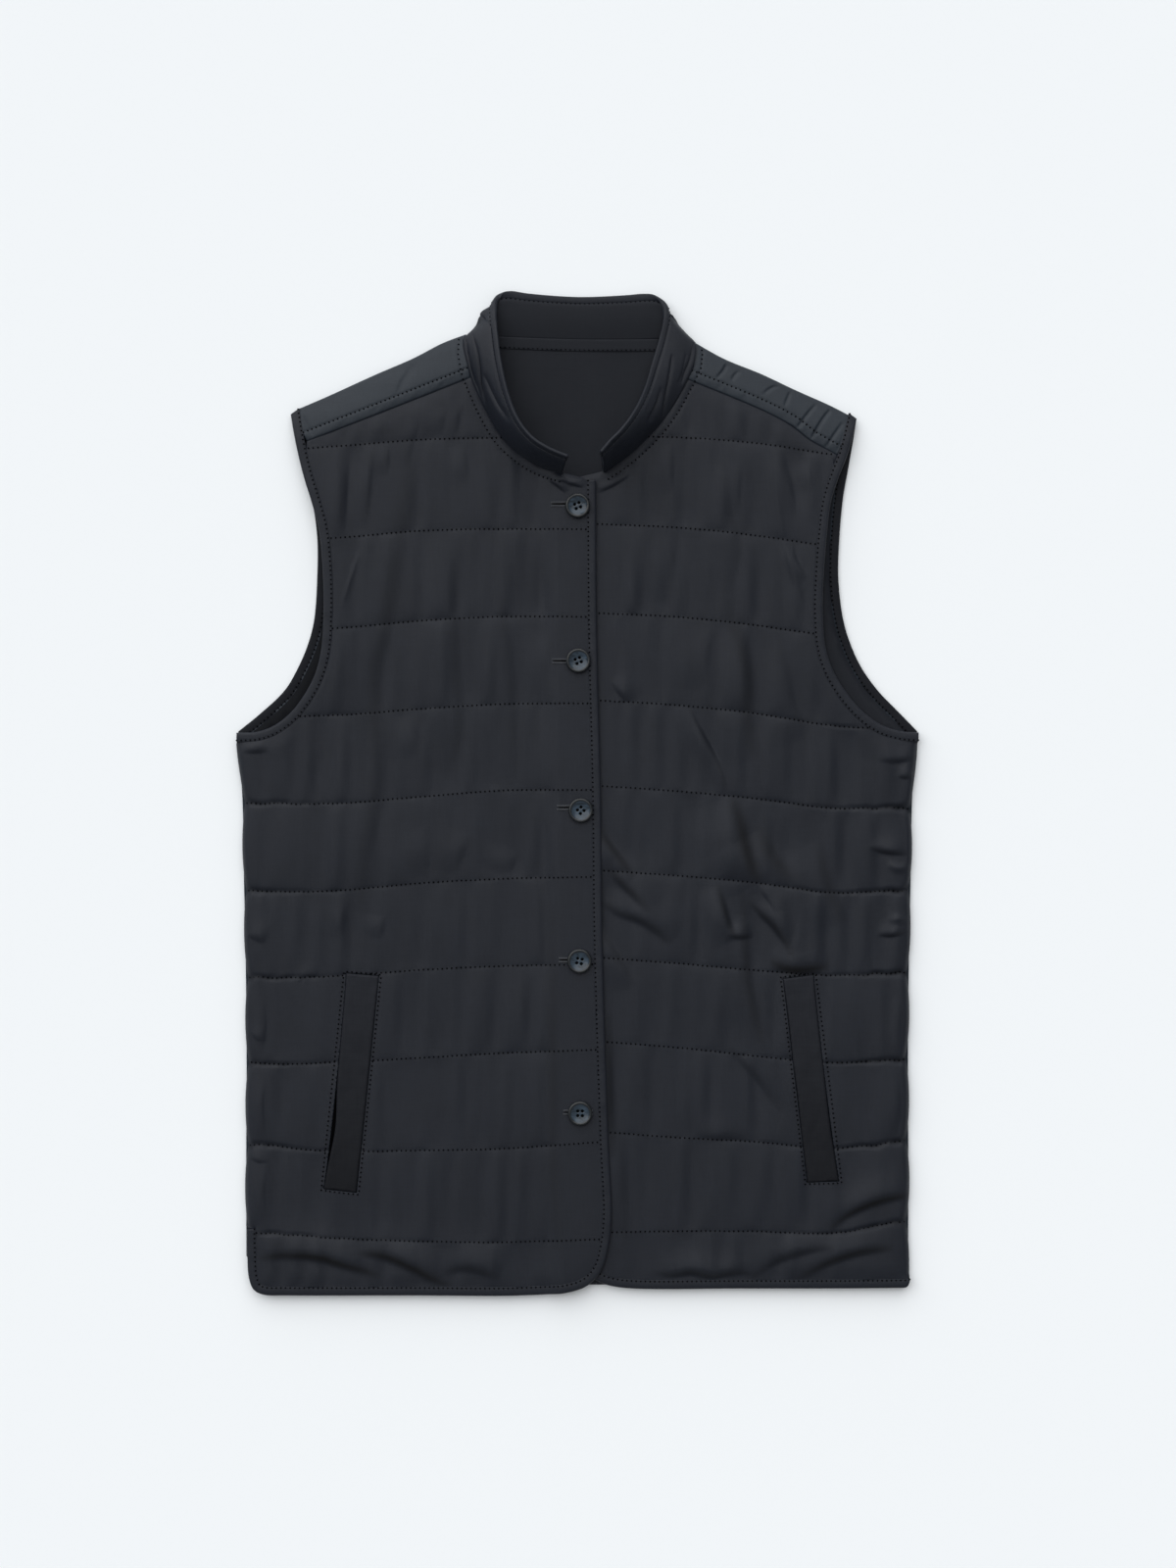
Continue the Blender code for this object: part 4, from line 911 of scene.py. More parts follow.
LEFT_CREASES = [
    (-2.2, 5.0, [(31, -236), (33, -270), (34, -300), (36, -345)]),
    (-1.1, 1.8, [(237, -150), (236, -175), (238, -196)]),
    (-1.1, 1.8, [(234, -208), (236, -232), (233, -255)]),
    (-1.5, 2.5, [(69, 257), (69, 238), (69, 219)]),
    (-2.0, 3.7, [(107, 241), (112, 202), (118, 178), (111, 147)]),
    (-1.5, 2.5, [(119, 244), (118, 222), (118, 201)]),
    (-1.8, 2.5, [(150, 249), (156, 226), (161, 202)]),
    (-1.2, 2.2, [(169, 245), (171, 232), (171, 219)]),
    (-1.6, 3.7, [(71, 192), (69, 164), (68, 138)]),
    (0.8, 1.9, [(144, 226), (150, 187), (158, 156), (170, 124)]),
    (-1.9, 1.8, [(157, 188), (160, 171), (169, 156)]),
    (-3.2, 6.2, [(108, 143), (119, 110), (125, 86), (125, 50), (130, 22)]),
    (-2.0, 3.7, [(148, 110), (159, 62), (168, 40)]),
    (-1.6, 3.7, [(97, 120), (94, 97), (93, 75)]),
    (-3.0, 2.0, [(80, 67), (90, 46), (101, 26), (111, 0)]),
    (-1.9, 2.0, [(24, 83), (32, 72), (41, 64)]),
    (-4.1, 5.6, [(113, -2), (119, -20), (123, -38), (128, -55), (134, -67)]),
    (-3.4, 6.2, [(133, -27), (143, -46), (158, -66)]),
    (-3.0, 5.4, [(176, -36), (184, -69), (196, -96)]),
    (-3.8, 3.6, [(14, -22), (22, -36), (31, -48), (42, -63)]),
    (-3.4, 3.4, [(22, -53), (31, -65), (41, -75), (54, -88)]),
    (-3.2, 3.4, [(16, -79), (30, -88), (46, -94), (60, -103), (70, -111)]),
    (-2.7, 3.0, [(11, -91), (20, -106), (28, -118), (36, -131), (42, -142)]),
    (-3.7, 2.8, [(103, -67), (107, -82), (111, -96), (117, -108)]),
    (-2.5, 2.0, [(109, -104), (116, -106), (123, -106), (130, -105)]),
    (-3.6, 2.8, [(125, -78), (134, -88), (144, -98), (152, -109), (157, -120)]),
    (-1.6, 1.8, [(133, -69), (139, -77), (147, -89)]),
    (-3.2, 4.8, [(122, -70), (123, -105), (125, -139), (130, -162), (136, -190)]),
    (-2.4, 3.4, [(105, -181), (122, -198), (136, -214), (151, -236)]),
    (-1.8, 2.5, [(84, -253), (105, -253), (126, -253)]),
    (-2.1, 1.8, [(220, 24), (235, 23), (249, 26)]),
    (-2.4, 1.5, [(235, 12), (241, 11), (249, 12)]),
    (-3.0, 1.8, [(213, -40), (227, -44), (243, -45)]),
    (1.7, 2.5, [(228, -50), (236, -54), (244, -52)]),
    (-2.8, 1.5, [(220, -104), (230, -105), (244, -101)]),
    (1.7, 2.5, [(227, -94), (235, -91), (244, -93)]),
    (-3.6, 4.6, [(22, -160), (23, -200), (24, -232), (27, -268)]),
    (-4.3, 3.0, [(184, -321), (200, -309), (218, -301), (234, -297), (247, -296)]),
    (-4.1, 3.2, [(160, -358), (186, -344), (208, -337), (233, -334)]),
    (-3.0, 3.0, [(127, -357), (142, -346), (158, -339), (174, -335), (190, -333)]),
    (-3.4, 2.6, [(54, -352), (70, -354), (84, -352), (100, -355), (118, -352), (134, -356)]),
    (-2.1, 1.1, [(14, 220), (26, 225), (40, 234)]),
    (-4.4, 4.2, [(141, -124), (155, -130), (170, -130), (186, -127)]),
]


def shifted(points, by):
    """The points moved along x."""
    return points + np.column_stack([by, np.zeros(len(points))])


def under_edge_x(y):
    """Where the hidden front edge of the left front lies."""
    return UNDER_EDGE_HEM_X + (UNDER_EDGE_NECK_X - UNDER_EDGE_HEM_X) * (y - HEM_Y) / (NECK_Y - HEM_Y)


def right_rest(points):
    """Height of the underside of the right front, which climbs onto the left front."""
    ahead = points[:, 0] - under_edge_x(points[:, 1]) + OVERLAP_CLEAR + OVERLAP_RAMP
    return REST + OVERLAP_RISE * ease(ahead / OVERLAP_RAMP)


def armhole_rest(run):
    """Rest height beside an armhole, where the loose front edge stands a little off the lining."""
    def rest(points):
        away, share, _ = nearest(points, run)
        lift = ARMHOLE_LIFT * arch(share, ARMHOLE_LIFT_POWER)
        return REST + lift * ease(1.0 - away / ARMHOLE_LIFT_WIDTH)

    return rest


right_armhole_rest = armhole_rest(right_armhole_front)
left_armhole_rest = armhole_rest(left_armhole_front)


def quilt_levels(places, rows):
    """Fine x places and the quilt lines at them, with one more line past each end."""
    order = np.argsort(places)
    x = np.linspace(min(places) - QUILT_PAST, max(places) + QUILT_PAST, QUILT_POINTS)
    stray = STRAY + SIDE_STRAY * np.exp(-(SIDE_X - np.abs(x)) / SIDE_STRAY_WIDTH)
    lines = []
    for row in rows:
        line = curve(np.column_stack([places, row])[order], 8)
        wander = waves(np.column_stack([x, np.full(len(x), STRAY_SHIFT * row[0])]), *STRAY_WAVES)
        lines.append(np.interp(x, line[:, 0], line[:, 1]) + wander * stray)
    return x, np.array([lines[0] + CHANNEL, *lines, lines[-1] - CHANNEL])


def in_channel(points, quilt):
    """Number of the quilt channel of each point, and the distances to the lines above and below it."""
    x, lines = quilt
    heights = np.array([np.interp(points[:, 0], x, line) for line in lines])
    above = np.clip((heights > points[:, 1]).sum(axis=0), 1, len(lines) - 1)
    each = np.arange(len(points))
    return above, heights[above - 1, each] - points[:, 1], points[:, 1] - heights[above, each]


def fold_line(half_width, places):
    """The bottom line of a fold, and whether its high side is to the left."""
    run, left_is_high = laid_run(places)
    shift = FOLD_SHIFT * FOLD_WIDTH * half_width / MM
    return beside(run, -shift if left_is_high else shift), left_is_high


def folded(points, folds):
    """Height of listed folds. A fold rolls down to its line; a ridge stands up evenly."""
    height = np.zeros(len(points))
    for tall, half_width, places in folds:
        run, left_is_high = fold_line(half_width, places)
        width = FOLD_WIDTH * half_width / MM
        near = close_to(points, run, FOLD_REACH * width)
        if not len(near):
            continue
        away, share, left = nearest(points[near], run)
        fade = arch(share, FOLD_FADE)
        if tall > 0.0:
            height[near] += swell(away, tall / MM * fade, width)
            continue
        off = np.where(left == left_is_high, away, -away) / width / FOLD_SOFT
        above = FOLD_SOFT * np.logaddexp(0.0, off)
        below = FOLD_SOFT * np.logaddexp(0.0, -off)
        roll = swell(above, 1.0 - np.exp(-above), FOLD_BACK)
        roll -= FOLD_DIP * np.exp(-above - below / FOLD_FOOT)
        height[near] -= FOLD_RISE * tall / MM * fade * roll
    return height


def crease_shade(points, front):
    """How much painted shade each point of a front gets inside a crease or a drawn-in seam, from 0 to 1."""
    _, to_upper, to_lower = in_channel(points, front["quilt"])
    at_side = np.exp(-from_run(points, front["side"]) / SIDE_GATHER)
    pulled = SEAM_SHADE_MIDDLE + waves(points, *SEAM_SHADE_WAVES, front["seed"] + 6)
    shade = SEAM_SHADE * front["pull"] * at_side * pulled
    shade = swell(np.minimum(to_upper, to_lower), shade, SEAM_SHADE_WIDTH)
    for tall, half_width, places in front["creases"]:
        run, _ = laid_run(places)
        width = SHADE_WIDTH * half_width / MM
        near = close_to(points, run, SHADE_REACH * width)
        if tall < 0.0 and len(near):
            away, share, _ = nearest(points[near], run)
            shade[near] += swell(away, (-tall / SHADE_DEPTH) ** 3 * arch(share, WRINKLE_FADE), width)
    return clipped(shade)


def front_wall(points, front):
    """Thickness of a quilted front, pinched along its seams and thin at its edges."""
    seed = front["seed"]
    channel, to_upper, to_lower = in_channel(points, front["quilt"])
    to_line = np.abs(np.minimum(to_upper, to_lower))
    place = clipped(to_upper / (to_upper + to_lower))
    puff = 1.0 - np.exp(-to_line / PUFF_WIDTH)
    side = from_run(points, front["side"])
    at_side = np.exp(-side / SIDE_GATHER)
    own = shifted(points, CHANNEL_SHIFT * channel)
    wall = SEWN_WALL + LOFT * (1.0 + waves(own, *LOFT_WAVES, seed)) * puff + CROWN * arch(place)
    wall += waves(points, *LONG_PUCKERS, seed + 1) * puff
    wall += waves(own, *CHANNEL_PUCKERS, seed + 2) * puff
    one_side = shifted(points, GATHER_SHIFT * np.where(to_upper < to_lower, 2 * channel, 2 * channel + 1))
    gathers = (SEAM_GATHERS + SIDE_GATHERS * at_side) * waves(one_side, *GATHER_WAVES, seed + 3)
    wall += gathers * np.exp(-to_line / GATHER_WIDTH)
    drawn = SEAM_DRAW * (1.0 + waves(own, *SEAM_DRAW_WAVES, seed + 4))
    drawn += front["pull"] * at_side * (SIDE_DRAW_MIDDLE + waves(own, *SIDE_DRAW_WAVES, seed + 5))
    wall -= swell(to_line, drawn, SEAM_WIDTH + SIDE_SEAM_WIDENS * at_side)
    flat = ease(front["flat_from"](points) / FLAT_RAMP)
    wall += (np.minimum(wall, front["flat_wall"]) - wall) * flat
    from_neck = from_run(points, front["neck"])
    bound = np.min([from_neck, *(from_run(points, run) for run in front["sewn"])], axis=0)
    wall = EDGE_WALL + (wall - EDGE_WALL) * quarter_round(bound / EDGE_ROUND)
    held = FOLD_AT_SEAM + (1.0 - FOLD_AT_SEAM) * puff
    wall += folded(points, front["creases"]) * held * ease(bound / FOLD_EDGE)
    wall -= swell(bound, *BOUND_DIP)
    wall += swell(from_neck - 0.5 * NECK_STITCH, *NECK_ROLL)
    wall -= swell(from_neck - NECK_STITCH, *NECK_STITCH_DIP)
    past = np.where(is_inside(points, front["welt"]), 0.0, from_edge(points, front["welt"]))
    wall = POCKET_FLOOR + (wall - POCKET_FLOOR) * ease(past / WELT_SLOPE)
    roll = np.sqrt(1.0 - (1.0 - clipped(side / SIDE_ROUND)) ** 2)
    return np.maximum(THINNEST, SIDE_WALL + (wall - SIDE_WALL) * roll)


def front_low(points, front):
    side = from_run(points, front["side"])
    return front["rest"](points) - (REST - SIDE_SEAM) * ease(1.0 - side / SIDE_DROP)


def front_top(points, front):
    return front_low(points, front) + front_wall(points, front)


def scalloped(side, quilt, outward):
    """A side edge that the quilt seams pull in."""
    _, to_upper, to_lower = in_channel(side, quilt)
    place = clipped(to_upper / (to_upper + to_lower))
    return shifted(side, outward * SCALLOP * (arch(place, SCALLOP_POWER) - SCALLOP_MIDDLE))


def welt_outline(corners, open_edge, gape):
    """Points round a welt, whose open edge bows in and is drawn in further where the pocket gapes."""
    loop = closed(corners)
    edges = [respaced(loop[i : i + 2], WELT_STEP)[:-1] for i in range(4)]
    edge = edges[open_edge]
    along = np.linspace(0.0, 1.0, len(edge))
    if open_edge == LEFT_OPEN_EDGE:
        along = along[::-1]
    drawn_in = WELT_BOW * arch(along, WELT_BOW_POWER) + swell(along - GAPE_PLACE, gape, GAPE_LENGTH)
    edges[open_edge] = edge + drawn_in[:, None] * (beside(edge, 1.0) - edge)
    return np.vstack(edges)


def fold_points(folds):
    """Points close beside each fold, so that its steep side stays sharp."""
    found = []
    for _, half_width, places in folds:
        run = respaced(fold_line(half_width, places)[0], FOLD_STEP)
        found += [beside(run, step) for step in FOLD_ROWS * FOLD_WIDTH * half_width / MM]
    return np.vstack(found)


def quilted_points(front):
    """Plan points of a front: rows close together beside each seam and edge, wider apart between."""
    outline = front["outline"]
    x, lines = front["quilt"]
    columns = np.arange(x[0], x[-1], COLUMN_STEP)
    last = SEAM_ROWS[-1]
    between = max(2, round((CHANNEL - 2 * last) / ROW_STEP))
    found = [fold_points(front["creases"])]
    for upper, lower in zip(lines, lines[1:]):
        upper, lower = np.interp(columns, x, upper), np.interp(columns, x, lower)
        rows = [upper - step for step in SEAM_ROWS] + [lower + step for step in SEAM_ROWS[1:]]
        rows += [upper - last + (lower - upper + 2 * last) * k / between for k in range(1, between)]
        for i, row in enumerate(rows):
            found.append(np.column_stack([columns + 0.5 * COLUMN_STEP * (i % 2), row]))
    found = np.vstack(found)
    found = found[np.sort(np.unique(np.round(found / CLOSEST), axis=0, return_index=True)[1])]
    found = found[is_inside(found, outline)]
    found = found[from_edge(found, outline) > EDGE_CLEAR]
    rings = [beside(closed(outline), step)[:-1] for step in EDGE_ROWS]
    rings += [beside(front["neck"], NECK_STITCH + step) for step in NECK_STITCH_ROWS]
    rings += [beside(closed(front["welt"]), -step)[:-1] for step in WELT_ROWS]
    rings = np.vstack([ring[is_inside(ring, outline)] for ring in rings])
    return np.vstack([found, rings[from_edge(rings, outline) > ROW_CLEAR]])


right_edge = smooth_run(RIGHT_FRONT_EDGE)
left_edge = smooth_run(LEFT_FRONT_EDGE)
right_edge_line = beside(right_edge, PANEL_EDGE)
left_edge_line = beside(left_edge, PANEL_EDGE)
right_neck = smooth_run(RIGHT_NECK)
left_neck = smooth_run(LEFT_NECK)
right_quilt = quilt_levels(RIGHT_QUILT_X, RIGHT_QUILT)
left_quilt = quilt_levels(LEFT_QUILT_X, LEFT_QUILT)
right_front_side = scalloped(right_side, right_quilt, -1.0)
right_front_side = right_front_side[right_front_side[:, 1] > RIGHT_FRONT_EDGE[0][1] + HEM_CORNER_CLEAR]
left_front_side = scalloped(left_side[::-1], left_quilt, 1.0)
right_front_armhole = right_armhole_line[right_armhole_front[:, 1] < RIGHT_ARMHOLE_TOP]
left_front_armhole = left_armhole_line[left_armhole_front[:, 1] < LEFT_ARMHOLE_TOP]
right_front = {
    "outline": np.vstack([
        right_edge_line, [RIGHT_NECK_END], right_neck, right_seam, right_front_armhole, right_front_side,
        [RIGHT_HEM_CORNER],
    ]),
    "sewn": [right_edge_line, right_seam, right_front_armhole],
    "neck": right_neck,
    "side": right_front_side,
    "quilt": right_quilt,
    "creases": RIGHT_CREASES,
    "welt": welt_outline(RIGHT_WELT, RIGHT_OPEN_EDGE, 0.0),
    "rest": lambda points: right_rest(points) + right_armhole_rest(points) - REST,
    "flat_from": lambda points: points[:, 0] - under_edge_x(points[:, 1]) + OVERLAP_FLAT,
    "flat_wall": OVERLAP_WALL,
    "pull": 0.0016,
    "seed": 20,
}
left_front = {
    "outline": np.vstack([
        left_edge_line, left_front_side, left_front_armhole, left_seam, left_neck, [LEFT_NECK_END],
    ]),
    "sewn": [left_edge_line, left_seam, left_front_armhole],
    "neck": left_neck,
    "side": left_front_side,
    "quilt": left_quilt,
    "creases": LEFT_CREASES,
    "welt": welt_outline(LEFT_WELT, LEFT_OPEN_EDGE, 0.0),
    "rest": left_armhole_rest,
    "flat_from": lambda points: (
        UNDERLAP_NECK_X + UNDERLAP_WIDENS * (NECK_Y - points[:, 1]) / (NECK_Y - HEM_Y) - points[:, 0]
    ),
    "flat_wall": UNDERLAP_WALL,
    "pull": 0.0034,
    "seed": 40,
}
for name, front, flat, under in (
    ("left_front", left_front, (0.262, 0.672), "vest_back_lining"),
    ("right_front", right_front, (0.272, 0.674), "vest_left_front"),
):
    vertices, faces, _ = shell(
        [front["outline"]],
        lambda points: front_low(points, front),
        lambda points: front_top(points, front),
        grid_inside(front["outline"], *UNDERSIDE_GRID),
        quilted_points(front),
    )
    panel = made_piece(f"vest_{name}", vertices, faces, SHELL_CLOTH)
    # Painted shade in the creases and drawn-in seams of the front.
    paint(panel, "painted_shade", crease_shade(vertices[:, :2], front))
    lay(panel, "shell_cloth", [name])

# Bindings. Narrow strips of shell cloth folded round the raw edges of the fronts, the hem and the
# armholes, and stitched down along their inner side.
BINDING_HEIGHT = 0.0033
BINDING_STEP = 0.0010
BINDING_LAP = 0.0002
BROAD_BINDING_WAVES = (0.06, (0.011, 0.011))
FINE_BINDING_WAVES = (0.03, (0.0045, 0.0045))
# Cross-section as shares of the width and height, from the inner side under the edge and back on top.
BINDING_SECTION = [
    (1.0, 0.0), (0.14, 0.0), (0.04, 0.10), (0.0, 0.30), (0.0, 0.56), (0.04, 0.78), (0.13, 0.93),
    (0.28, 1.0), (0.55, 1.01), (0.76, 1.0), (0.85, 0.95), (0.93, 0.98), (1.0, 0.95),
]
BINDING_STITCH = (0.85, 0.97)
# Ends: length of the slanted and of the thinned stretch, and what the thinning takes off.
SLANT_LENGTH = 0.012
THIN_LENGTH = 0.022
THIN_POWER = 1.5
THIN_DROP = 0.0014
THIN_SHARE = 0.62
HEM_CORNER = 0.0045
BACK_BINDING_REST = 0.0002
# Painted shade: a darker, duller copy of the shell cloth for the back armhole bindings inside the armholes.
SHADED_INSIDE_CLOTH = cloth(
    "shell_cloth_painted_shade", (0.0080, 0.0088, 0.0115), (0.0128, 0.0140, 0.0175), roughness=0.55, sheen=0.01,
    gloss=0.06,
)


def tube(rings):
    """Vertices and faces of a closed body swept through rings of points, each ring in the same order."""
    count, sides = len(rings), len(rings[0])
    faces = []
    for i in range(count - 1):
        for j in range(sides):
            k = (j + 1) % sides
            faces.append((i * sides + k, i * sides + j, (i + 1) * sides + j, (i + 1) * sides + k))
    faces.append(tuple(range(sides)))
    faces.append(tuple((count - 1) * sides + j for j in reversed(range(sides))))
    return np.vstack(rings), faces


def run_length(run):
    return np.linalg.norm(np.diff(run, axis=0), axis=1).sum()


def binding(
    name, edge, rest, seed, finish=SHELL_CLOTH, slants=(0.0, 0.0), thin=(0.0, 0.0), corner=0.0
):
    """One folded strip along a finished edge with its panel on the left; gives the run of its stitches."""
    fine = respaced(edge, BINDING_STEP)
    inward = beside(fine, 1.0) - fine
    along = np.column_stack([inward[:, 1], -inward[:, 0]])
    full = 1.0 + waves(fine, *BROAD_BINDING_WAVES, seed) + waves(fine, *FINE_BINDING_WAVES, seed + 1)
    from_start = BINDING_STEP * np.arange(len(fine))
    from_end = from_start[::-1]
    slant = slants[0] * clipped(1.0 - from_start / SLANT_LENGTH)
    slant -= slants[1] * clipped(1.0 - from_end / SLANT_LENGTH)
    thinned = thin[0] * clipped(1.0 - from_start / THIN_LENGTH) ** THIN_POWER
    thinned += thin[1] * clipped(1.0 - from_end / THIN_LENGTH) ** THIN_POWER
    to_corner = clipped(1.0 - from_end / max(corner, BINDING_STEP))
    rounded = corner * (1.0 - np.sqrt(1.0 - to_corner**2))
    low = rest(fine) - THIN_DROP * thinned
    high = BINDING_HEIGHT * full * (1.0 - THIN_SHARE * thinned)

    def ring(across, up):
        places = fine + inward * (BIND + BINDING_LAP) * across
        places += (inward * rounded[:, None] + along * slant[:, None]) * (1.0 - across)
        return np.column_stack([places, low + high * up])

    rings = np.stack([ring(across, up) for across, up in BINDING_SECTION], axis=1)
    strip = made_piece(f"vest_{name}", *tube(rings), finish)
    lay(strip, "shell_cloth", [name])
    return ring(*BINDING_STITCH)


back_rest = level(BACK_BINDING_REST)
edge_rows = [
    binding("right_front_binding", right_edge, right_rest, 60),
    binding("left_front_binding", left_edge, level(REST), 62, corner=HEM_CORNER),
    binding(
        "right_armhole_binding_front", right_armhole_front, right_armhole_rest, 64,
        slants=(0.0032, 0.0), thin=(1.0, 0.0),
    ),
    binding(
        "left_armhole_binding_front", left_armhole_front, left_armhole_rest, 66,
        slants=(0.0, 0.0028), thin=(0.0, 1.0),
    ),
    # The back armhole bindings take the darker copy of the shell cloth: painted shade.
    binding("right_armhole_binding_back", right_armhole_back, back_rest, 68, SHADED_INSIDE_CLOTH),
    binding("left_armhole_binding_back", left_armhole_back, back_rest, 70, SHADED_INSIDE_CLOTH),
    binding("back_hem_binding", back_hem, back_rest, 72),
]

# Collar. A strip of shell cloth over a firm interlining, sewn to the neck edge and faced with the lining.
# It stands at the front and folds flat at the back, and its top edge is bound with the same cloth.
COLLAR_STEPS = 14
COLLAR_ROWS = 60
COLLAR_WALL = 0.0026
COLLAR_BOW = 0.0016
COLLAR_ARCH = 0.0013
COLLAR_TUCK = 0.06
COLLAR_LAP = 0.02
# The collar stands where its seam is this high, and lies flat where the seam is low.
STANDING_Z = 0.004
STANDING_RAMP = 0.004
# The right wing bulges below its top edge: how far, at which section and at what share of its height.
COLLAR_BULGE = 0.0042
BULGE_SECTION = 8.4
BULGE_SECTIONS = 0.6
BULGE_SHARE = 0.52
BULGE_HEIGHT = 0.17
# The wall is pressed thinner under the stitches of the binding.
COLLAR_PRESSED = (0.25, 0.03)
COLLAR_BINDING_START = 0.82
COLLAR_BINDING_WALL = 0.0040
COLLAR_BINDING_CUT = 0.0100
COLLAR_BINDING_THINNER = 0.32
COLLAR_BINDING_SQUARE = 0.6
COLLAR_BINDING_SIDES = 20
FACING_GAP = 0.0002
FACING_WALL = 0.0005
# Sections from the right front end round the back to the left. Columns: seam x, y, z, top edge x, y, z.
COLLAR = [
    (-0.0108, 0.2342, 0.0126, -0.0066, 0.2428, 0.0440),
    (-0.0250, 0.2391, 0.0098, -0.0200, 0.2486, 0.0425),
    (-0.0400, 0.2478, 0.0085, -0.0325, 0.2570, 0.0400),
    (-0.0535, 0.2600, 0.0085, -0.0430, 0.2712, 0.0360),
    (-0.0648, 0.2785, 0.0085, -0.0500, 0.2900, 0.0310),
    (-0.0755, 0.3024, 0.0087, -0.0550, 0.3130, 0.0255),
    (-0.0802, 0.3190, 0.0087, -0.0575, 0.3310, 0.0205),
    (-0.0822, 0.3322, 0.0058, -0.0592, 0.3500, 0.0140),
    (-0.0802, 0.3353, 0.0036, -0.0590, 0.3610, 0.0085),
    (-0.0740, 0.3360, 0.0024, -0.0560, 0.3668, 0.0050),
    (-0.0600, 0.3350, 0.0020, -0.0490, 0.3688, 0.0028),
    (-0.0426, 0.3343, 0.0018, -0.0354, 0.3670, 0.0021),
    (0.0007, 0.3329, 0.0018, 0.0007, 0.3645, 0.0021),
    (0.0440, 0.3329, 0.0018, 0.0354, 0.3658, 0.0021),
    (0.0620, 0.3336, 0.0020, 0.0490, 0.3668, 0.0028),
    (0.0750, 0.3345, 0.0024, 0.0570, 0.3655, 0.0050),
    (0.0818, 0.3338, 0.0030, 0.0622, 0.3600, 0.0075),
    (0.0856, 0.3286, 0.0062, 0.0632, 0.3480, 0.0110),
    (0.0840, 0.3150, 0.0087, 0.0600, 0.3325, 0.0122),
    (0.0786, 0.3022, 0.0087, 0.0548, 0.3145, 0.0152),
    (0.0680, 0.2830, 0.0085, 0.0486, 0.2935, 0.0222),
    (0.0580, 0.2690, 0.0085, 0.0403, 0.2752, 0.0330),
    (0.0440, 0.2545, 0.0085, 0.0310, 0.2618, 0.0395),
    (0.0310, 0.2438, 0.0085, 0.0240, 0.2545, 0.0415),
    (0.0190, 0.2357, 0.0085, 0.0171, 0.2462, 0.0420),
]
# Wrinkles of the collar, in millimetres. Columns: height, half width, run.
COLLAR_WRINKLES = [
    (-1.9, 0.8, [(-76, 336), (-72, 322), (-70, 309), (-69, 297), (-66, 284)]),
    (-1.7, 1.0, [(-67, 306), (-62, 294), (-56, 282), (-47, 270)]),
    (-1.0, 0.8, [(-73, 352), (-69, 349), (-62, 340)]),
    (-1.2, 0.8, [(-81, 332), (-79, 318), (-75, 303), (-69, 289)]),
    (-1.9, 0.8, [(69, 321), (66, 304), (63, 289), (61, 275)]),
    (-1.7, 1.0, [(60, 296), (56, 283), (49, 271)]),
    (-1.3, 0.8, [(84, 330), (82, 318), (78, 307), (76, 300)]),
    (-0.9, 0.9, [(79, 322), (77, 310), (73, 299)]),
]


def grid_normal(grid):
    """Unit directions square to a grid of points; on the collar they point to the inside of the neck."""
    normal = np.cross(np.gradient(grid, axis=0), np.gradient(grid, axis=1))
    return normal / np.linalg.norm(normal, axis=2, keepdims=True)


def squared(value):
    """Sine or cosine of a turn, brought closer to the corners of a square."""
    return np.sign(value) * np.abs(value) ** COLLAR_BINDING_SQUARE


sections = curve(COLLAR, COLLAR_STEPS)
seam, top_edge = sections[:, None, :3], sections[:, None, 3:]
height_share = np.linspace(0.0, COLLAR_BINDING_START + COLLAR_LAP, COLLAR_ROWS)
height_share = np.concatenate([[-COLLAR_TUCK], height_share])
collar_middle = seam + (top_edge - seam) * height_share[None, :, None]
collar_normal = grid_normal(collar_middle)
standing = ease((seam[:, 0, 2] - STANDING_Z) / STANDING_RAMP)[:, None]
bowed = arch(clipped(height_share))[None, :]
outward = COLLAR_BOW * bowed * standing - COLLAR_ARCH * bowed * (1.0 - standing)
outward += wrinkled(collar_middle[:, :, :2].reshape(-1, 2), COLLAR_WRINKLES).reshape(outward.shape)
section_number = np.linspace(0.0, len(COLLAR) - 1.0, len(sections))
bulge = swell(section_number - BULGE_SECTION, 1.0, BULGE_SECTIONS)[:, None]
bulge = bulge * swell(height_share - BULGE_SHARE, 1.0, BULGE_HEIGHT)[None, :]
outward += COLLAR_BULGE * bulge
collar_middle = collar_middle - collar_normal * outward[:, :, None]
collar_normal = grid_normal(collar_middle)
half_wall = COLLAR_WALL / 2 * (1.0 - swell(height_share - COLLAR_BINDING_START, *COLLAR_PRESSED))
outer = collar_middle - collar_normal * half_wall[None, :, None]
inner = collar_middle + collar_normal * half_wall[None, :, None]
collar = made_piece("vest_collar", *tube(np.concatenate([outer, inner[:, ::-1]], axis=1)), SHELL_CLOTH)
collar_length = run_length(collar_middle[:, 10])
lay(collar, "shell_cloth", ["collar"])
lower_face = (inner + collar_normal * FACING_GAP)[:, 1::3]
upper_face = (inner + collar_normal * (FACING_GAP + FACING_WALL))[:, 1::3]
rings = np.concatenate([lower_face, upper_face[:, ::-1]], axis=1)
facing = made_piece("vest_collar_facing", *tube(rings), LINING_CLOTH)
lay(facing, "lining_cloth", [])
edge_up = (top_edge - seam)[:, 0]
edge_normal = collar_normal[:, -1]
binding_half = COLLAR_BINDING_WALL / 2 * (1.0 - COLLAR_BINDING_THINNER * standing)
rings = []
for turn in np.linspace(0.0, 2 * np.pi, COLLAR_BINDING_SIDES, endpoint=False):
    share = (1.0 + COLLAR_BINDING_START) / 2 + (1.0 - COLLAR_BINDING_START) / 2 * squared(np.cos(turn))
    rings.append(seam[:, 0] + edge_up * share + edge_normal * squared(np.sin(turn)) * binding_half)
collar_binding = made_piece("vest_collar_binding", *tube(np.stack(rings, axis=1)), SHELL_CLOTH)
flat = (COLLAR_BINDING_CUT, collar_length)
lay(collar_binding, "shell_cloth", ["collar_binding"])

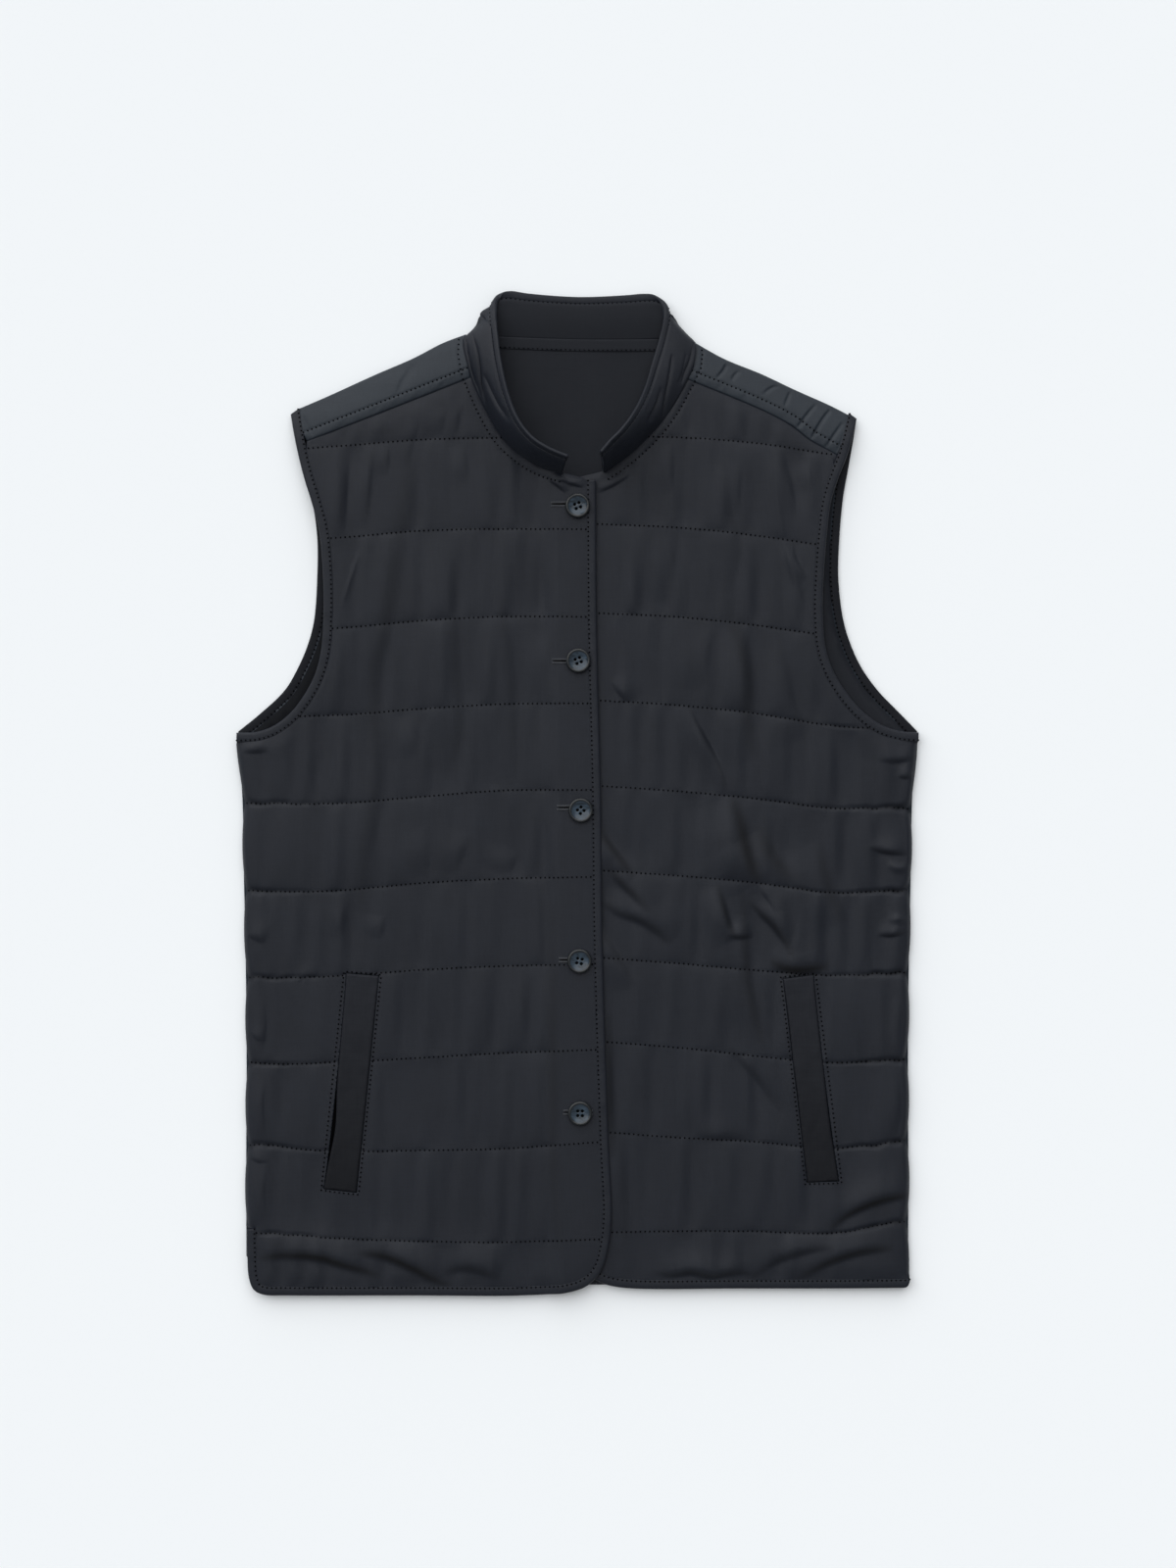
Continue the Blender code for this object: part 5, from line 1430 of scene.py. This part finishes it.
# Pocket welts. Folded strips of shell cloth set into a slanted cut in each front. Only the edge away
# from the middle is open, and the ends are sewn down.
WELT_LOW = REST + 0.0022
WELT_EDGE = 0.0016
WELT_WALL = 0.0022
WELT_ROUND = 0.0007
WELT_GRID = (0.0012, 0.0005)
BROAD_WELT_WAVES = (0.00022, (0.010, 0.014))
FINE_WELT_WAVES = (0.00014, (0.005, 0.006))
WELT_CLOTH = cloth(
    "welt_cloth", (0.0070, 0.0078, 0.0105), (0.0125, 0.0138, 0.0175), roughness=0.50, sheen=0.02, gloss=0.09
)


def paint_light_upwards(finish, low_y, high_y, low, high):
    """Painted light and shade: multiplies a finish's colour by a factor that grows towards the head."""
    tree = finish.node_tree
    colour = tree.nodes["Principled BSDF"].inputs["Base Color"]
    place = node(tree, "ShaderNodeTexCoord").outputs["Object"]
    upward = node(tree, "ShaderNodeSeparateXYZ", {"Vector": place}).outputs["Y"]
    factor = ranged(tree, upward, low, high, from_min=low_y, from_max=high_y)
    tinted = {0: colour.links[0].from_socket, "Scale": factor}
    tree.links.new(node(tree, "ShaderNodeVectorMath", tinted, operation="SCALE").outputs[0], colour)


# Painted light and shade: the welts are lighter towards the head and darker towards the hem.
paint_light_upwards(WELT_CLOTH, low_y=-0.29, high_y=-0.135, low=0.70, high=1.55)
for side, corners, open_edge, gape, seed in (
    ("right", RIGHT_WELT, RIGHT_OPEN_EDGE, 0.0026, 80),
    ("left", LEFT_WELT, LEFT_OPEN_EDGE, 0.0006, 84),
):
    outline = welt_outline(corners, open_edge, gape)

    def welt_top(points):
        wave = waves(points, *BROAD_WELT_WAVES, seed) + waves(points, *FINE_WELT_WAVES, seed + 1)
        rise = quarter_round(from_edge(points, outline) / WELT_ROUND)
        return WELT_LOW + WELT_EDGE + (WELT_WALL - WELT_EDGE + wave) * rise

    welt_grid = grid_inside(outline, *WELT_GRID)
    vertices, faces, _ = shell([outline], level(WELT_LOW), welt_top, (), welt_grid)
    welt = made_piece(f"vest_{side}_pocket_welt", vertices, faces, WELT_CLOTH)
    lay(welt, "shell_cloth", [f"{side}_pocket_welt"])

# Pocket bag. The bag behind the right welt, sewn in along the mouth; its near-black colour is painted shade
# for the inside of the pocket. Only a strip of it shows, where the mouth gapes.
BAG_STRIP = 0.0110
BAG_MOUTH = np.array([0.30, 0.97])
BAG_LOW = REST + POCKET_FLOOR + 0.0002
BAG_WALL = 0.0004
BAG_WAVES = (0.0001, (0.004, 0.006), 90)
BAG_GRID = (0.002, 0.001)
# Painted shade: the bag is near-black to stand for the shade inside the pocket.
SHADED_BAG_CLOTH = cloth(
    "bag_cloth_painted_shade", (0.0010, 0.0011, 0.0014), (0.0022, 0.0024, 0.0030), roughness=0.8, sheen=0.0, gloss=0.02,
    **LINING_WEAVE,
)
low_corner, low_inner_corner, _, high_corner = RIGHT_WELT
mouth = high_corner + (low_corner - high_corner) * BAG_MOUTH[:, None]
into = (low_inner_corner - low_corner) / np.linalg.norm(low_inner_corner - low_corner)
bag_outline = np.vstack([respaced(mouth, LONG_STEP), respaced(mouth + BAG_STRIP * into, LONG_STEP)[::-1]])
vertices, faces, _ = shell(
    [bag_outline],
    level(BAG_LOW),
    lambda points: BAG_LOW + BAG_WALL + waves(points, *BAG_WAVES),
    (),
    grid_inside(bag_outline, *BAG_GRID),
)
bag = made_piece("vest_right_pocket_bag", vertices, faces, SHADED_BAG_CLOTH)
lay(bag, "lining_cloth", [])

# Buttons. Four-hole resin buttons with a rounded rim and a dished, marbled face, sewn through the left
# front and standing on the right one.
BUTTON_LOW = 0.0129
# Radius and height of the upper face, from the edge to the dish.
BUTTON_FACE = [
    (0.0090, 0.0016), (0.0089, 0.0022), (0.0086, 0.0027), (0.0082, 0.0030), (0.0077, 0.0031),
    (0.0073, 0.0030), (0.0069, 0.0027), (0.0065, 0.0024), (0.0060, 0.0021), (0.0052, 0.0018),
    (0.0040, 0.0015), (0.0020, 0.0013), (0.0, 0.0013),
]
BUTTON_SIDES = 72
SPARSE_RADIUS = 0.004
DISH_RADIUS = 0.0060
DISH_GRID = (0.0005, 0.0002)
# The foot is flat out to this radius, and rounded from there to the edge.
FOOT_RADIUS = 0.0076
FOOT_ROUND = 0.0014
FOOT_LIFT = 0.0008
FOOT_RINGS = (0.0076, 0.0083)
HOLE_RADIUS = 0.00118
HOLE_SPREAD = 0.0024
# Lip of a hole, in hole radii: where it ends, how steep it is, and how far other points stay off.
HOLE_LIP = 1.25
LIP_SLOPE = 0.2
HOLE_CLEAR = 1.5
HOLE_DIP = 0.0001
RIM_RADIUS = 0.0062
RIM_BLEND = 0.0012
TIE_HALF = 0.0005
TIE_LIFT = 0.0002
# Buttons from the neck down: x, y, turn of the holes in degrees.
BUTTONS = [
    (0.0003, 0.2098, 21.0),
    (0.0008, 0.0964, 23.0),
    (0.0026, -0.0132, 40.0),
    (0.0017, -0.1235, -11.0),
    (0.0021, -0.2350, 0.0),
]


def marbled_resin():
    """Polished blue-grey resin with cloudy streaks and a darker rim."""
    made, tree, shader = new_finish("button_resin")
    place = node(tree, "ShaderNodeTexCoord").outputs["Object"]
    cloud = noise(tree, stretched(tree, place, (90.0, 260.0, 90.0)), 1.0, detail=4.0, distortion=1.6)
    ramp = node(tree, "ShaderNodeValToRGB", {"Fac": cloud})
    colours = ((0.35, (0.010, 0.018, 0.027, 1.0)), (0.68, (0.032, 0.054, 0.080, 1.0)))
    for stop, (position, colour) in zip(ramp.color_ramp.elements, colours):
        stop.position = position
        stop.color = colour
    rim = node(tree, "ShaderNodeAttribute", attribute_name="rim").outputs["Fac"]
    wire(tree, shader, {
        "Base Color": mixed(tree, rim, ramp.outputs[0], (0.006, 0.008, 0.010, 1.0)),
        "Roughness": ranged(tree, cloud, 0.22, 0.34),
        "Specular IOR Level": 0.4,
    })
    return made


RESIN = marbled_resin()
face_radius, face_height = np.array(BUTTON_FACE).T
around = np.linspace(0.0, 2 * np.pi, BUTTON_SIDES, endpoint=False)
around = np.column_stack([np.cos(around), np.sin(around)])
hole_around = around[::4]
button_ties = []
for number, (x, y, turn) in enumerate(BUTTONS, start=1):
    middle = np.array([x, y])
    corners = np.radians(turn + 45.0 + 90.0 * np.arange(4))
    corners = np.column_stack([np.cos(corners), np.sin(corners)])
    centres = middle + HOLE_SPREAD * corners

    def from_middle(points):
        return np.hypot(*(points - middle).T)

    def from_hole(points):
        return np.min([np.hypot(*(points - centre).T) for centre in centres], axis=0)

    def button_face(points):
        face = np.interp(from_middle(points), face_radius[::-1], face_height[::-1])
        at_lip = ease((HOLE_LIP - from_hole(points) / HOLE_RADIUS) / LIP_SLOPE)
        return BUTTON_LOW + face - HOLE_DIP * at_lip

    def button_foot(points):
        return BUTTON_LOW + FOOT_LIFT * clipped((from_middle(points) - FOOT_RADIUS) / FOOT_ROUND) ** 2

    holes = [centre + HOLE_RADIUS * hole_around for centre in centres]
    lips = [centre + HOLE_LIP * HOLE_RADIUS * hole_around for centre in centres]
    rings = [middle + radius * around[:: 1 if radius > SPARSE_RADIUS else 3] for radius in face_radius[1:-1]]
    rings = np.vstack([*rings, grid_inside(middle + DISH_RADIUS * around, *DISH_GRID)])
    vertices, faces, _ = shell(
        [middle + face_radius[0] * around, *holes],
        button_foot,
        button_face,
        np.vstack([middle + radius * around for radius in FOOT_RINGS]),
        np.vstack([rings[from_hole(rings) > HOLE_CLEAR * HOLE_RADIUS], *lips]),
    )
    button = made_piece(f"vest_button_{number}", vertices, faces, RESIN, 55.0)
    paint(button, "rim", ease((from_middle(vertices[:, :2]) - RIM_RADIUS) / RIM_BLEND))
    fix(button, "button_resin", f"button_{number}")
    for ends in np.stack([centres - TIE_HALF * corners, centres + TIE_HALF * corners], axis=1):
        button_ties.append(np.column_stack([ends, np.full(2, BUTTON_LOW + TIE_LIFT)]))

# Stitching. Rows through the quilting, along the bindings, the neck, the shoulder seams, the welts and the
# collar, each stitch a short thread that dips into the cloth. The thread is far darker than the cloth:
# painted shade for the needle holes and puckers along each row.
STITCH_PITCH = 0.0034
STITCH_LENGTH = 0.0013
THREAD = 0.00075
FINE_THREAD = 0.6 * THREAD
SHORTEST_ROW = 4
STITCH_LIFT = 0.0001
STITCH_STEP = 0.0012
WELT_STITCH = (0.0018, 0.0012)
QUILT_STOP = (0.0018, 0.0014)
QUILT_EDGE_STOP = 0.0012
COLLAR_STITCH_UP = 0.012
COLLAR_STITCH_OUT = 0.84
TIE_SIZES = (0.0010, 0.0014, 0.0010)
THREAD_TWIST = {"threads": 4200.0, "slub": 0.6, "bump": 0.4}
# Painted shade: near-black thread that stands for the shade of the needle holes and puckers.
SHADED_SEWING_THREAD = cloth(
    "sewing_thread_painted_shade", (0.0006, 0.0007, 0.0010), (0.0018, 0.0021, 0.0028), roughness=0.7, sheen=0.0,
    gloss=0.02, **THREAD_TWIST,
)


def row_of_stitches():
    """Geometry tree that sets a short thread at even steps along a path."""
    tree = bpy.data.node_groups.new("row_of_stitches", "GeometryNodeTree")
    tree.interface.new_socket("Path", in_out="INPUT", socket_type="NodeSocketGeometry")
    for name in ("Pitch", "Stitch length", "Thread radius", "Turn"):
        tree.interface.new_socket(name, in_out="INPUT", socket_type="NodeSocketFloat")
    tree.interface.new_socket("Finish", in_out="INPUT", socket_type="NodeSocketMaterial")
    tree.interface.new_socket("Stitches", in_out="OUTPUT", socket_type="NodeSocketGeometry")
    given = node(tree, "NodeGroupInput").outputs

    def step(kind, inputs, **settings):
        return node(tree, kind, inputs, **settings).outputs[0]

    path = step("GeometryNodeMeshToCurve", {"Mesh": given["Path"]})
    path = step("GeometryNodeResampleCurve", {"Curve": path, "Length": given["Pitch"]}, mode="LENGTH")
    along = {"Vector": step("GeometryNodeInputTangent", {}), "Angle": given["Turn"]}
    along = step("ShaderNodeVectorRotate", along, rotation_type="Z_AXIS")
    turned = step("FunctionNodeAlignRotationToVector", {"Vector": along}, axis="X")
    half = math(tree, "MULTIPLY", given["Stitch length"], 0.5)
    size = {"X": half, "Y": given["Thread radius"], "Z": given["Thread radius"]}
    bead = step("GeometryNodeMeshUVSphere", {"Segments": 6, "Rings": 4, "Radius": 1.0})
    thread = step("GeometryNodeTransform", {"Geometry": bead, "Scale": step("ShaderNodeCombineXYZ", size)})
    rows = {"Points": path, "Instance": thread, "Rotation": turned}
    rows = step("GeometryNodeInstanceOnPoints", rows)
    rows = step("GeometryNodeRealizeInstances", {"Geometry": rows})
    rows = step("GeometryNodeSetShadeSmooth", {"Geometry": rows})
    rows = step("GeometryNodeSetMaterial", {"Geometry": rows, "Material": given["Finish"]})
    wire(tree, node(tree, "NodeGroupOutput"), {"Stitches": rows})
    return tree


STITCHES = row_of_stitches()


def sewn(
    name, runs, slot, finish=SHADED_SEWING_THREAD, pitch=STITCH_PITCH, length=STITCH_LENGTH, thread=THREAD, turn=0.0
):
    """Stitches along runs of points as one plain mesh."""
    mesh = bpy.data.meshes.new(name)
    edges = []
    first = 0
    for run in runs:
        edges += [(first + i, first + i + 1) for i in range(len(run) - 1)]
        first += len(run)
    mesh.from_pydata(np.vstack(runs).tolist(), edges, [])
    path = placed(name + "_path", mesh)
    sewing = path.modifiers.new("stitches", "NODES")
    sewing.node_group = STITCHES
    sizes = {"Pitch": pitch, "Stitch length": length, "Thread radius": thread, "Turn": turn}
    sizes["Finish"] = finish
    for item in STITCHES.interface.items_tree:
        if item.name in sizes:
            sewing[item.identifier] = sizes[item.name]
    bpy.context.view_layer.update()
    made = bpy.data.meshes.new_from_object(path.evaluated_get(bpy.context.evaluated_depsgraph_get()))
    bpy.data.objects.remove(path)
    made.name = name
    fix(placed(name, made), slot)


def on_cloth(run, height, lift=STITCH_LIFT):
    return np.column_stack([run, height(run) + lift])


def kept_rows(run, kept, height):
    """The stretches of a run whose points are kept, laid on the cloth."""
    breaks = np.flatnonzero(np.diff(kept.astype(int))) + 1
    parts = [part for part in np.split(np.arange(len(run)), breaks) if kept[part[0]]]
    return [on_cloth(run[part], height) for part in parts if len(part) >= SHORTEST_ROW]


def grown_welt(corners, sides, ends):
    """A welt's outline grown beside its long sides and past its ends."""
    a, b, c, d = corners
    up = (c - b) / np.linalg.norm(c - b) * ends
    out = (b - a) / np.linalg.norm(b - a) * sides
    return np.array([a - out - up, b + out - up, c + out + up, d - out + up])


quilt_rows = []
for front, welt in ((right_front, RIGHT_WELT), (left_front, LEFT_WELT)):
    def cloth_top(points):
        return front_top(points, front)

    x, lines = front["quilt"]
    for line in lines[1:-1]:
        run = respaced(np.column_stack([x, line]), STITCH_STEP)
        kept = is_inside(run, front["outline"]) & ~is_inside(run, grown_welt(welt, *QUILT_STOP))
        kept &= from_edge(run, front["outline"]) > QUILT_EDGE_STOP
        if front is left_front:
            kept &= ~is_inside(run, right_front["outline"])
        quilt_rows += kept_rows(run, kept, cloth_top)
    run = respaced(beside(front["neck"], NECK_STITCH), STITCH_STEP)
    quilt_rows += kept_rows(run, is_inside(run, front["outline"]), cloth_top)
    loop = respaced(closed(grown_welt(welt, *WELT_STITCH)), STITCH_STEP)
    quilt_rows.append(on_cloth(loop, cloth_top))
sewn("vest_quilt_stitches", quilt_rows, "shell_cloth")

for run, height, flap in (
    (beside(right_seam, -TOPSTITCH), right_shoulder_top, right_flap),
    (beside(left_seam, -TOPSTITCH), left_shoulder_top, left_flap),
    (beside(right_neck_end, NECK_TOPSTITCH), right_shoulder_top, right_flap),
    (beside(left_neck_end, NECK_TOPSTITCH), left_shoulder_top, left_flap),
):
    run = respaced(run, STITCH_STEP)
    edge_rows += kept_rows(run, is_inside(run, flap), height)
sewn("vest_edge_stitches", edge_rows, "shell_cloth")

neck_rows = []
for side in (1.0, -1.0):
    run = seam[:, 0] + edge_up * (COLLAR_BINDING_START + COLLAR_STITCH_UP)
    neck_rows.append(respaced(run + side * edge_normal * COLLAR_STITCH_OUT * binding_half, STITCH_STEP))
neck_rows.append(on_cloth(respaced(tape_stitch_run, STITCH_STEP), tape_top))
sewn("vest_neck_stitches", neck_rows, "lining_cloth", thread=FINE_THREAD)
sewn("vest_button_ties", button_ties, "shell_cloth", SHADED_SEWING_THREAD, *TIE_SIZES)

# Buttonholes. Slits in the right front, worked round with close thread bars; each shows on the side of
# its button away from the front edge.
BUTTONHOLE_LENGTH = 0.0210
BUTTONHOLE_HALF = 0.0013
BUTTONHOLE_POINTS = 36
SLIT_HALF = 0.0006
SLIT_POWER = 0.4
SLIT_LIFT = 0.0002
SLIT_DEPTH = 0.0008
BAR_LIFT = 0.00025
BAR_SIZES = (0.0008, 0.0016, 0.00040)
# Outer ends of the buttonholes from the neck down: x, y.
BUTTONHOLES = [
    (-0.0190, 0.2112), (-0.0180, 0.0962), (-0.0145, -0.0112), (-0.0132, -0.1228), (-0.0100, -0.2344),
]
BUTTONHOLE_THREAD = cloth(
    "buttonhole_thread", (0.050, 0.054, 0.062), (0.085, 0.090, 0.100), roughness=0.5, sheen=0.03,
    **THREAD_TWIST,
)
# Painted shade: the open slits are near-black sheets that stand for the shade inside them.
SLIT_PAINTED_SHADE = cloth(
    "slit_painted_shade", (0.001, 0.001, 0.0012), (0.003, 0.003, 0.0035), roughness=0.9, sheen=0.0,
    threads=3000.0, slub=0.3, bump=0.1,
)


def right_front_top(points):
    return front_top(points, right_front)


bar_rows = []
slits = []
slit_faces = []
slit_half = SLIT_HALF * arch(np.linspace(0.0, 1.0, BUTTONHOLE_POINTS), SLIT_POWER)
for outer_x, y in BUTTONHOLES:
    x = np.linspace(outer_x, outer_x + BUTTONHOLE_LENGTH, BUTTONHOLE_POINTS)
    rails = []
    for side in (1.0, -1.0):
        run = np.column_stack([x, np.full_like(x, y + side * BUTTONHOLE_HALF)])
        bar_rows.append(on_cloth(run, right_front_top, BAR_LIFT))
        run = np.column_stack([x, y + side * slit_half])
        rails.append(on_cloth(run, right_front_top, SLIT_LIFT))
    rails.append(on_cloth(np.column_stack([x, np.full_like(x, y)]), right_front_top, -SLIT_DEPTH))
    vertices, faces = tube(np.stack(rails[::-1], axis=1))
    slit_faces += [[len(slits) + i for i in face] for face in faces]
    slits += vertices.tolist()
sewn("vest_buttonhole_bars", bar_rows, "shell_cloth", BUTTONHOLE_THREAD, *BAR_SIZES, np.radians(90.0))
# The slits are near-black sheets: painted shade.
slit = made_piece("vest_buttonhole_slits", slits, slit_faces, SLIT_PAINTED_SHADE)
fix(slit, "shell_cloth")

# Studio. A plain pale paper floor, soft light from the head end and the left as from a wide window,
# and a camera straight above.
FLOOR_HALF = 4.0
FLOOR_COLOUR = (0.872, 0.905, 0.930, 1.0)
SKY_LIGHT = 0.34
WINDOW_LIGHT = 3.34
WINDOW_ANGLE = 95.0
WINDOW_WAY = (0.38, -0.98, -0.86)
CAMERA_PLACE = (0.0079, 0.0061, 2.0)
CAMERA_LENS = 62.3
CAMERA_SENSOR = 36.0
floor_mesh = bpy.data.meshes.new("floor")
floor_corners = [(FLOOR_HALF * x, FLOOR_HALF * y, 0.0) for x, y in ((-1, -1), (1, -1), (1, 1), (-1, 1))]
floor_mesh.from_pydata(floor_corners, [], [(0, 1, 2, 3)])
FLOOR, floor_tree, floor_shader = new_finish("floor_paper")
wire(floor_tree, floor_shader, {"Base Color": FLOOR_COLOUR, "Roughness": 0.9, "Specular IOR Level": 0.0})
floor_mesh.materials.append(FLOOR)
floor = placed("floor", floor_mesh)

world = bpy.data.worlds.new("studio")
world.use_nodes = True
sky = {"Color": (1.0, 1.0, 1.0, 1.0), "Strength": SKY_LIGHT}
wire(world.node_tree, world.node_tree.nodes["Background"], sky)
bpy.context.scene.world = world
sun = bpy.data.lights.new("window", "SUN")
sun.energy = WINDOW_LIGHT
sun.angle = np.radians(WINDOW_ANGLE)
placed("window", sun).rotation_euler = Vector(WINDOW_WAY).to_track_quat("-Z", "Y").to_euler()

lens = bpy.data.cameras.new("camera")
lens.sensor_width = CAMERA_SENSOR
lens.lens = CAMERA_LENS
camera = placed("camera", lens)
camera.location = CAMERA_PLACE
bpy.context.scene.camera = camera
bpy.context.scene.view_settings.view_transform = "Standard"
